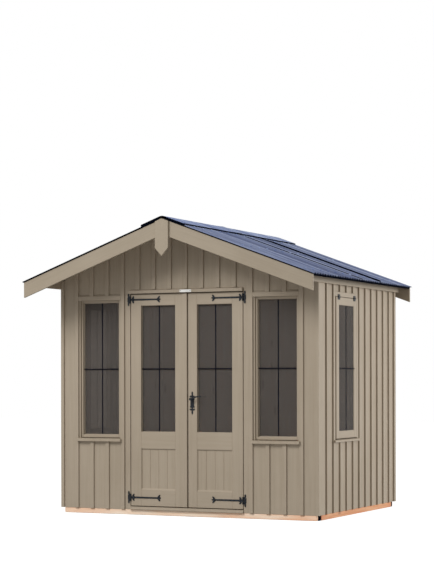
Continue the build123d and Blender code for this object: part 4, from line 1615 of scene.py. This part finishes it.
@dataclass
class Roof:
    """Roof boards, ridge beam, eaves and verge boards, finials, corrugated sheets and their fixings."""

    site: Site
    finishes: Finishes
    board_count: int = 12
    ease: float = 0.0022
    finial_point: float = 0.066
    wave_count: int = 43
    wave_height: float = 0.012
    wave_squareness: float = 1.6
    sheet_thickness: float = 0.003
    seat: float = 0.0003
    cap_round: float = 0.060
    cap_lap: float = -0.083
    cap_overlap: float = 0.060
    cap_lift: float = 0.0045
    cap_ease_out: float = 0.25
    cap_seat: float = 0.005
    shade_packing_depth: float = 0.025
    set_back: float = 0.004
    eaves_shade_drop: float = 0.012
    verge_depth: float = 0.034
    cap_thickness: float = 0.004
    cap_columns: int = 41
    cap_rows: int = 12
    points_per_wave: int = 12
    rows_down: int = 14
    laps: tuple[tuple[float, float], ...] = ((19.68, 0.006), (27.68, 0.013))
    lap_waves: float = 1.0
    lap_fade: float = 1.5
    lap_run: float = 0.08
    nail_rows: tuple[float, ...] = (0.26, 0.72, 1.30)
    nail_every: int = 3
    crest: float = 0.75
    nail_radius: float = 0.011
    nail_height: float = 0.008
    nail_sides: int = 8

    def build(self) -> None:
        """Board the roof, trim its edges and lay the sheets."""
        self._boards()
        self._trim()
        self._cap()
        for side in Side:
            slope = self._slope(side)
            self._sheets(slope)
            self._shade_packing(slope)
            self._nails(slope)

    def _slope(self, side: Side) -> Slope:
        """Measure one slope.

        Args:
            side: left or right of the ridge.

        Returns:
            The slope.
        """
        low, high = corners_of(f"{side.word}_roof_sheet")
        pitch = float(np.arctan(self.site.slope))
        reach = max(abs(low[0]), abs(high[0])) - (self.wave_height + self.sheet_thickness) * sin(pitch)
        return Slope(side, start=low[1], end=high[1], ridge=corners_of(f"{side.word}_roof_deck")[1][2],
                     pitch=pitch, gap=self.cap_round * self.site.slope,
                     wing=corners_of("ridge_cap")[1][0] / cos(pitch), reach=reach / cos(pitch))

    def _boards(self) -> None:
        """Lay the roof boards: rows of boards along the ridge, leaned to the slope, over the ridge beam."""
        for side in Side:
            node = f"{side.word}_roof_deck"
            low, high = corners_of(node)
            reach = max(abs(low[0]), abs(high[0]))
            thick = high[2] - self.site.ridge
            edges = np.linspace(0.0, reach, self.board_count + 1)
            ends = np.sort(np.stack((side * edges[:-1], side * edges[1:])), axis=0)
            flat = boxes(rows(ends[0], low[1], -thick), rows(ends[1], high[1], 0.0), Axis.Y, self.ease)
            boards = flat.sloped(high[2], self.site.slope)
            place(f"{side.word}_roof_boards", boards, self.finishes.trim, Slot.BOARDS, [node])
        beam = boxes(*corners_of("ridge_beam"), Axis.Y, self.ease)
        place("ridge_timber", beam, self.finishes.trim, Slot.TRIM, ["ridge_beam"])

    def _trim(self) -> None:
        """Nail on the eaves boards, the verge boards and the finials."""
        shapes = []
        for side in Side:
            low, high = corners_of(f"{side.word}_fascia")
            inner, outer = sorted((abs(low[0]), abs(high[0])))
            under = self.site.roof_under(np.array((inner, outer)))
            profile = np.array(((low[2], side * inner), (low[2], side * outer), (under[1], side * outer),
                                (under[0], side * inner)))
            shapes.append(carried(profile, low[1], high[1], Axis.Y))
        place("eaves_boards", Shape.joined(shapes), self.finishes.trim, Slot.TRIM,
              [f"{side.word}_fascia" for side in Side])

        verges = []
        nodes = []
        for end in ("front", "back"):
            for side in Side:
                nodes.append(f"{end}_{side.word}_bargeboard")
                low, high = corners_of(nodes[-1])
                reach = high[0] - low[0]
                depth = high[2] - low[2] - reach * self.site.slope
                flat_low, flat_high = np.array((low[0], low[1], -depth)), np.array((high[0], high[1], 0.0))
                verges.append(boxes(flat_low, flat_high, Axis.X, self.ease).sloped(high[2], self.site.slope))
        # The verge boards wear the darker copy of the paint, as painted shade.
        place("verge_boards", Shape.joined(verges), self.finishes.verge, Slot.TRIM, nodes)

        low, high = corners_of("finials")
        half = high[0]
        shoulder = high[2] - half * self.site.slope
        point = low[2] + self.finial_point
        outline = np.array(((0.0, high[2]), (-half, shoulder), (-half, point), (0.0, low[2]), (half, point),
                            (half, shoulder)))
        front_back = corners_of("front_left_bargeboard")[0][1]
        back_back = corners_of("back_left_bargeboard")[1][1]
        points = Shape.joined((slab(outline, front_back, low[1], self.ease),
                               slab(outline, back_back, high[1], self.ease)))
        # The finials wear the darker copy of the paint too, as painted shade.
        place("finial_boards", points, self.finishes.verge, Slot.TRIM, ["finials"])

    def _thicken(self, piece: bpy.types.Object, thickness: float) -> None:
        """Give a skin of roofing its thickness, with the black core of the sheet at its edges and underneath.

        Args:
            piece: the skin, its faces turned up.
            thickness: the sheet's thickness, half of it on each side of the skin.
        """
        piece.data.materials.append(self.finishes.bitumen)
        solid = piece.modifiers.new("sheet thickness", "SOLIDIFY")
        solid.thickness = thickness
        solid.offset = 0.0
        solid.material_offset = 1
        solid.material_offset_rim = 1

    def _cap(self) -> None:
        """Bend the ridge cap in two lengths: wings at the roof's slope that meet in an arc, along the ridge.

        Within the arc the height is the root of the radius squared less x squared, and beyond it the
        slope's straight line, both measured from the point where the two wings would meet. The front
        length is lifted over the back one, by a square that grows over its last stretch.
        """
        low, high = corners_of("ridge_cap")
        pitch = np.arctan(self.site.slope)
        x = np.linspace(low[0], high[0], self.cap_columns)[:, None]
        arc = np.sqrt(np.maximum(self.cap_round ** 2 - x ** 2, 0.0)) - self.cap_round / np.cos(pitch)
        bent = np.where(np.abs(x) < self.cap_round * np.sin(pitch), arc, -self.site.slope * np.abs(x))
        level = high[2] - bent.max() + (self.cap_seat - self.cap_thickness / 2) / np.cos(pitch)
        lap_end = self.cap_lap + self.cap_overlap
        shapes = []
        for start, end, lift in ((low[1], lap_end, self.cap_lift), (self.cap_lap, high[1], 0.0)):
            y = np.linspace(start, end, self.cap_rows)[None, :]
            raised = lift * np.clip(1 - (end - y) / self.cap_ease_out, 0.0, 1.0) ** 2
            shapes.append(skin(spread(x, y, level + bent + raised), spread(x, y)))
        # The cap wears the paler copy of the roofing, a painted highlight along the ridge.
        cap = place("ridge_capping", Shape.joined(shapes), self.finishes.highlight_roofing, Slot.ROOFING, ["ridge_cap"],
                    smooth=True)
        self._thicken(cap, self.cap_thickness)

    def _share(self, y: Array, slope: Slope) -> Array:
        """Return the share of the sheet's rise at y: half of one plus a softly squared sine."""
        turn = np.sin(2 * pi * (y - slope.start) / self._pitch(slope) + pi)
        return (1 + np.tanh(self.wave_squareness * turn) / np.tanh(self.wave_squareness)) / 2

    def _pitch(self, slope: Slope) -> float:
        """Return the length of one wave."""
        return (slope.end - slope.start) / self.wave_count

    def _under(self, y: Array, slope: Slope) -> Array:
        """Return how far the sheets' underside is off the boards at y, away from the laps."""
        return self.wave_height * self._share(y, slope) + self.seat

    def _lift(self, y: Array, lap: float, lift: float, slope: Slope) -> Array:
        """Return the lift of a sheet over the one in front of it: a square that fades over some waves."""
        return lift * np.clip(1 - (y - lap) / (self.lap_fade * self._pitch(slope)), 0.0, 1.0) ** 2

    def _sheets(self, slope: Slope) -> None:
        """Lay one slope's sheets, each lapping the one in front of it.

        A point of a sheet lies at a distance down the slope and at y along the ridge. It is raised off the
        boards by the wave's rise at y, plus the lift at the lap, which starts outside the ridge cap.
        The map's second value is the wave's share, nothing in a trough and one on a crest.

        Args:
            slope: the slope.
        """
        length = self._pitch(slope)
        laps = [(slope.start + wave * length, lift) for wave, lift in self.laps]
        starts = ((slope.start, 0.0), *laps)
        ends = (*(lap for lap, _ in laps), slope.end)
        shapes = []
        for order, ((start, lift), end) in enumerate(zip(starts, ends)):
            last = end if order == len(laps) else end + self.lap_waves * length
            columns = round((last - start) / length * self.points_per_wave) + 1
            y = np.linspace(start, last, columns)[None, ::int(slope.side)]
            s = np.linspace(slope.gap, slope.reach, self.rows_down)[:, None]
            raised = self._lift(y, start, lift, slope) * np.clip((s - slope.wing) / self.lap_run, 0.0, 1.0)
            points = slope.at(s, y, self._under(y, slope) + raised + self.sheet_thickness / 2)
            shapes.append(skin(points, spread(s, self._share(y, slope))))
        name = slope.side.word
        sheet = place(f"{name}_corrugated_sheets", Shape.joined(shapes), self.finishes.roofing, Slot.ROOFING,
                      [f"{name}_roof_sheet"], smooth=True)
        self._thicken(sheet, self.sheet_thickness)

    def _shade_packing(self, slope: Slope) -> None:
        """Pack the gaps at the sheets' lower ends, under the cap's edge and ends, and in the laps, in black:
        painted shade for the shadow in these gaps, which at the eaves also stands for a black eaves filler and
        hangs below the boards.

        Each strip has four corners at a station: back and front at its foot, front and back at its top.
        Its foot and top follow the boards, the sheets' waves or the cap.

        Args:
            slope: the slope.
        """
        back = np.array((1.0, 0.0, 0.0, 1.0)) * self.shade_packing_depth
        top = np.array((0.0, 0.0, 1.0, 1.0))
        cap = self.wave_height + self.seat + self.sheet_thickness + self.cap_seat
        y = np.linspace(slope.start, slope.end, self.wave_count * self.points_per_wave + 1)[:, None]
        over = self._under(y, slope) + self.sheet_thickness
        strips = [slope.at(slope.wing - self.set_back - back, y, over + top * (cap - over))]
        y = np.unique(np.clip(y, slope.start + self.verge_depth, slope.end - self.verge_depth))[:, None]
        # The eaves strip hangs below the boards by the drop, a wider band of painted shade under the sheets'
        # ends.
        under = self._under(y, slope) + self.eaves_shade_drop
        strips.append(slope.at(slope.reach - self.set_back - back, y, top * under - self.eaves_shade_drop))
        s = np.array((self.cap_round / 2, slope.wing - self.set_back))[:, None]
        for end, way in ((slope.start, 1), (slope.end, -1)):
            y = end + way * (self.set_back + back[None, :])
            over = self._under(y, slope) + self.sheet_thickness
            strips.append(slope.at(s, y, over + top * (cap - over)))
        s = np.array((slope.wing + self.lap_run, slope.reach - self.set_back))[:, None]
        for wave, lift in self.laps:
            lap = slope.start + wave * self._pitch(slope)
            y = lap + (self.set_back + back[None, :]) / 2
            under = self._under(y, slope)
            raised = self._lift(y, lap, lift, slope) - self.sheet_thickness
            strips.append(slope.at(s, y, under + self.sheet_thickness + top * raised))
        shape = Shape.joined([tubes(strip[None]) for strip in strips])
        # All these strips are black: painted shade in the gaps.
        place(f"{slope.side.word}_roof_packing", shape, self.finishes.bitumen, Slot.ROOFING)

    def _nails(self, slope: Slope) -> None:
        """Nail the sheets down on some of their crests, in rows down the slope.

        Args:
            slope: the slope.
        """
        waves = np.arange(1, self.wave_count, self.nail_every)
        crests = slope.start + (waves + self.crest) * self._pitch(slope)
        s, y = (grid.ravel() for grid in np.meshgrid(np.array(self.nail_rows), crests))
        feet = slope.at(s, y, self.wave_height + self.seat + self.sheet_thickness)
        nails = domes(feet, slope.off, self.nail_radius, self.nail_height, self.nail_sides)
        # The fixings wear the paler copy of the roofing too, a painted highlight.
        place(f"{slope.side.word}_sheet_fixings", nails, self.finishes.highlight_roofing, Slot.ROOFING, smooth=True)


@dataclass
class Ironwork:
    """Black tee hinges, window hinges, handle plates and the lever, with their screws."""

    finishes: Finishes
    ease: float = 0.0007
    pieces: Sequence[tuple[str, str, Body]] = (
        ("left_hinge_plates", "left_hinge_iron", Body.HOUSE),
        ("right_hinge_plates", "right_hinge_iron", Body.HOUSE),
        ("window_hinges", "sash_hinge_iron", Body.HOUSE),
        ("left_door_straps", "left_strap_iron", Body.LEFT_DOOR),
        ("right_door_straps", "right_strap_iron", Body.RIGHT_DOOR),
        ("handle_plates", "handle_plate_iron", Body.RIGHT_DOOR))
    pin_reach: float = 0.527
    hinge_foot: float = 0.071
    hinge_head: float = 0.044
    plate_thickness: float = 0.004
    plate_middle: float = 0.018
    plate_screws: tuple[float, ...] = (-0.038, 0.0, 0.038)
    strap_screws: tuple[float, ...] = (0.082, 0.145, 0.208)
    strap_boss: float = 0.028
    tip_boss: float = 0.258
    boss_radius: float = 0.0085
    boss_height: float = 0.0045
    boss_sides: int = 16
    tip_start: float = 0.250
    tip_length: float = 0.040
    tip_width: float = 0.016
    tip_proud: float = 0.0006
    tip_points: int = 16
    handle_screws: tuple[float, ...] = (-0.0605, 0.0605)
    handle_boss: float = -0.018
    screw_radius: float = 0.0036
    screw_height: float = 0.0020
    hub_radius: float = 0.011
    hub_length: float = 0.017
    hub_sides: int = 24
    spindle_radius: float = 0.007
    spindle_sides: int = 20
    grip_rise: float = 0.021
    grip_bend: float = 0.62
    grip_radius: float = 0.0068
    grip_waist: float = 0.0018
    knob_radius: float = 0.0082
    knob_share: float = 0.20
    knob_end: float = 0.003
    grip_stations: int = 41
    grip_sides: int = 16

    def build(self) -> None:
        """Dress the ironwork, screw it on and hang the lever."""
        for node, name, body in self.pieces:
            eased_copy(node, name, self.finishes.iron, self.ease, body)
        for side in Side:
            self._hinge_screws(side)
        self._handle_screws()
        self._lever()

    def _heads(self, feet: Array, out: float) -> Shape:
        """Return screw heads on faces that look to the front (-1) or the back (1)."""
        return domes(feet, (0.0, out, 0.0), self.screw_radius, self.screw_height)

    def _bosses(self, feet: Array, out: float) -> Shape:
        """Return round bosses on faces that look to the front (-1) or the back (1)."""
        return domes(feet, (0.0, out, 0.0), self.boss_radius, self.boss_height, self.boss_sides)

    def _hinge_screws(self, side: Side) -> None:
        """Give one door's hinges their screws and bosses, and the middle petal of each strap's tail.

        The petal is an ellipse along the strap, as a plate a little prouder than the strap.

        Args:
            side: left or right of the doorway.
        """
        name, iron = side.word, self.finishes.iron
        leaf_low, leaf_high = corners_of(f"{name}_door_leaf")
        levels = np.array((leaf_low[2] + self.hinge_foot, leaf_high[2] - self.hinge_head))
        face = leaf_low[1] - self.plate_thickness
        axis = side * self.pin_reach
        turn = np.linspace(0.0, 2 * pi, self.tip_points, endpoint=False)
        middle = axis - side * (self.tip_start + self.tip_length / 2)
        petal = spread(middle + self.tip_length / 2 * np.cos(turn), self.tip_width / 2 * np.sin(turn))
        tips = [slab(petal + np.array((0.0, level)), leaf_low[1], face - self.tip_proud, self.ease)
                for level in levels]
        place(f"{name}_strap_tips", Shape.joined(tips), iron, Slot.IRON, body=side.door)
        x, z = (grid.ravel() for grid in np.meshgrid(axis - side * np.array(self.strap_screws), levels))
        ends = axis - side * np.array((self.strap_boss, self.tip_boss))
        boss_x, boss_z = (grid.ravel() for grid in np.meshgrid(ends, levels))
        on_door = Shape.joined((self._heads(rows(x, face, z), -1.0),
                                self._bosses(rows(boss_x, face, boss_z), -1.0)))
        place(f"{name}_strap_screws", on_door, iron, Slot.IRON, body=side.door, smooth=True)
        z = (levels[:, None] + np.array(self.plate_screws)).ravel()
        on_jamb = self._heads(rows(axis + side * self.plate_middle, face, z), -1.0)
        place(f"{name}_plate_screws", on_jamb, iron, Slot.IRON, smooth=True)

    def _handle_screws(self) -> None:
        """Give the handle plates, on both faces of the right leaf, their screws and keyhole bosses."""
        low, high = corners_of("handle_plates")
        leaf_low, leaf_high = corners_of("right_door_leaf")
        middle, level = (low[0] + high[0]) / 2, (low[2] + high[2]) / 2
        shapes = []
        for face, out in ((leaf_low[1], -1.0), (leaf_high[1], 1.0)):
            proud = face + out * self.plate_thickness
            shapes.append(self._heads(rows(middle, proud, level + np.array(self.handle_screws)), out))
            shapes.append(self._bosses(rows(middle, proud, np.array((level + self.handle_boss,))), out))
        place("handle_plate_screws", Shape.joined(shapes), self.finishes.iron, Slot.IRON,
              body=Body.RIGHT_DOOR, smooth=True)

    def _lever(self) -> None:
        """Hang the lever: a grip on each side of the leaf, on a hub and one spindle.

        A grip's path runs sideways and rises by a cubic ease to its level. Its radius is the larger of a
        shank, which narrows by a quarter sine, and a knob, half an ellipse over the last stretch.
        """
        low, high = corners_of("door_lever")
        x, z = low[0] + self.hub_radius, low[2] + self.hub_radius
        t = np.linspace(0.0, 1.0, self.grip_stations)
        bend = np.clip(t / self.grip_bend, 0.0, 1.0)
        across, level = x + (high[0] - x) * t, z + self.grip_rise * bend ** 2 * (3 - 2 * bend)
        narrowing = np.clip(t / (1 - self.knob_share), 0.0, 1.0)
        shank = self.grip_radius - self.grip_waist * np.sin(pi / 2 * narrowing)
        middle = 1 - self.knob_share / 2
        fullness = 1 - ((t - middle) / (self.knob_share / 2)) ** 2
        knob = self.knob_radius * np.sqrt(np.maximum(fullness, self.knob_end))
        radius = np.where(t < middle, np.maximum(shank, knob), knob)
        ahead = np.stack((np.gradient(across), np.gradient(level)))
        ahead /= np.linalg.norm(ahead, axis=0)
        turn = np.linspace(0.0, 2 * pi, self.grip_sides, endpoint=False)
        out, along = radius[:, None] * np.cos(turn), radius[:, None] * np.sin(turn)
        faces = np.array((low[1], high[1] - self.hub_length))[:, None, None]
        grips = spread(across[:, None] - ahead[1][:, None] * out, faces + self.hub_length / 2 + along,
                       level[:, None] + ahead[0][:, None] * out)
        hub, thin, backs = self.hub_radius, self.spindle_radius, faces.ravel()
        hubs = rods(rows(x - hub, backs, z - hub), rows(x + hub, backs + self.hub_length, z + hub), Axis.Y,
                    self.hub_sides)
        spindle = rods(np.array((x - thin, low[1] + self.hub_length, z - thin)),
                       np.array((x + thin, high[1] - self.hub_length, z + thin)), Axis.Y, self.spindle_sides)
        place("lever_handles", Shape.joined((tubes(grips), hubs, spindle)), self.finishes.iron, Slot.IRON,
              ["door_lever"], Body.LEVER, smooth=True)


# Studio


@dataclass(frozen=True)
class Viewpoint:
    """The camera: where it stands, level, how it is turned, and its lens, shifted up to take the roof in."""

    place: Point = (6.4147, -13.6255, 1.1449)
    turn: float = radians(-25.424)
    roll: float = radians(-0.108)
    lens: float = 106.68
    rise: float = 0.15636
    sensor: float = 36.0

    def build(self) -> None:
        """Set the camera up and make it the scene's."""
        camera = bpy.data.cameras.new("viewpoint")
        camera.sensor_width = self.sensor
        camera.lens = self.lens
        camera.shift_y = self.rise
        holder = stand("viewpoint", camera)
        ahead = Vector((sin(self.turn), cos(self.turn), 0.0))
        level = Vector((cos(self.turn), -sin(self.turn), 0.0))
        above = Vector((0.0, 0.0, 1.0))
        right = cos(self.roll) * level + sin(self.roll) * above
        up = cos(self.roll) * above - sin(self.roll) * level
        turned = Matrix((right, up, -ahead)).transposed().to_4x4()
        holder.matrix_world = Matrix.Translation(self.place) @ turned
        bpy.context.scene.camera = holder


@dataclass(frozen=True)
class Lamp:
    """A large soft lamp that points at the house."""

    name: str
    place: Point
    size: float
    power: float

    def build(self, target: Point) -> None:
        """Hang the lamp.

        Args:
            target: the point that it faces.
        """
        light = bpy.data.lights.new(self.name, "AREA")
        light.shape = "DISK"
        light.size = self.size
        light.energy = self.power
        holder = stand(self.name, light)
        away = Vector(self.place) - Vector(target)
        turned = away.to_track_quat("Z", "Y").to_matrix().to_4x4()
        holder.matrix_world = Matrix.Translation(self.place) @ turned


@dataclass(frozen=True)
class Studio:
    """A plain pale floor, an even white surround and two soft lamps."""

    lamps: tuple[Lamp, ...] = (Lamp("key lamp", (-2.5, -8.8, 7.6), 5.0, 680.0),
                               Lamp("side lamp", (9.0, 3.5, 3.0), 4.0, 450.0))
    target: Point = (0.0, 0.0, 1.2)
    surround: float = 0.44
    floor_size: float = 60.0
    floor_colour: Colour = (0.50, 0.50, 0.50, 1.0)
    floor_glow: float = 0.80

    def build(self) -> None:
        """Set up the floor, the surround and the lamps."""
        bpy.context.scene.view_settings.view_transform = "Standard"
        for lamp in self.lamps:
            lamp.build(self.target)
        self._surround()
        self._floor()

    @staticmethod
    def _seen(tree: Tree) -> Socket:
        """Tell what the camera sees from what lights the house.

        Args:
            tree: the tree of the floor or the surround.

        Returns:
            1 for what is seen straight, through glass or in a gloss, and 0 for the light.
        """
        path = tree.add("ShaderNodeLightPath", {})
        seen = tree.maths("MAXIMUM", path.outputs["Is Camera Ray"], path.outputs["Is Glossy Ray"])
        return tree.maths("MAXIMUM", seen, path.outputs["Is Transmission Ray"])

    def _surround(self) -> None:
        """Make the world white to look at, and an even soft light for the house."""
        world = bpy.data.worlds.new("white surround")
        world.use_nodes = True
        tree = Tree(world.node_tree)
        background = world.node_tree.nodes["Background"]
        background.inputs["Color"].default_value = WHITE
        strength = tree.between(self._seen(tree), 0.0, 1.0, self.surround, 1.0)
        tree.feed(strength, background, "Strength")
        bpy.context.scene.world = world

    def _floor(self) -> None:
        """Lay the floor: pale, and lifted to white where the camera sees it lit, so that only shade shows."""
        half = self.floor_size / 2
        corners = np.array(((-half, -half, 0.0), (half, -half, 0.0), (half, half, 0.0), (-half, half, 0.0)))
        mesh = bpy.data.meshes.new("studio_floor")
        mesh.from_pydata(corners.tolist(), [], [(0, 1, 2, 3)])
        material = bpy.data.materials.new("pale floor")
        material.use_nodes = True
        tree = Tree(material.node_tree)
        nodes = material.node_tree.nodes
        nodes.remove(nodes["Principled BSDF"])
        pale = tree.add("ShaderNodeBsdfDiffuse", {"Color": self.floor_colour})
        strength = tree.maths("MULTIPLY", self._seen(tree), self.floor_glow)
        glow = tree.add("ShaderNodeEmission", {"Color": WHITE, "Strength": strength})
        both = tree.add("ShaderNodeAddShader", {0: pale.outputs[0], 1: glow.outputs[0]})
        tree.feed(both.outputs[0], nodes["Material Output"], "Surface")
        mesh.materials.append(material)
        floor = stand("studio_floor", mesh)


def main() -> None:
    """Build the summerhouse's pieces in order and set up the studio."""
    logging.basicConfig(level=logging.INFO, format="%(name)s %(message)s")
    site = Site.read()
    finishes = Finishes()
    Viewpoint().build()
    assemblies = (Base(site, finishes), Walls(site, finishes), Doorway(finishes), Windows(site, finishes),
                  Door(Side.LEFT, finishes), Door(Side.RIGHT, finishes), Roof(site, finishes),
                  Ironwork(finishes))
    for assembly in assemblies:
        assembly.build()
    Studio().build()


if __name__ == "__main__":
    main()
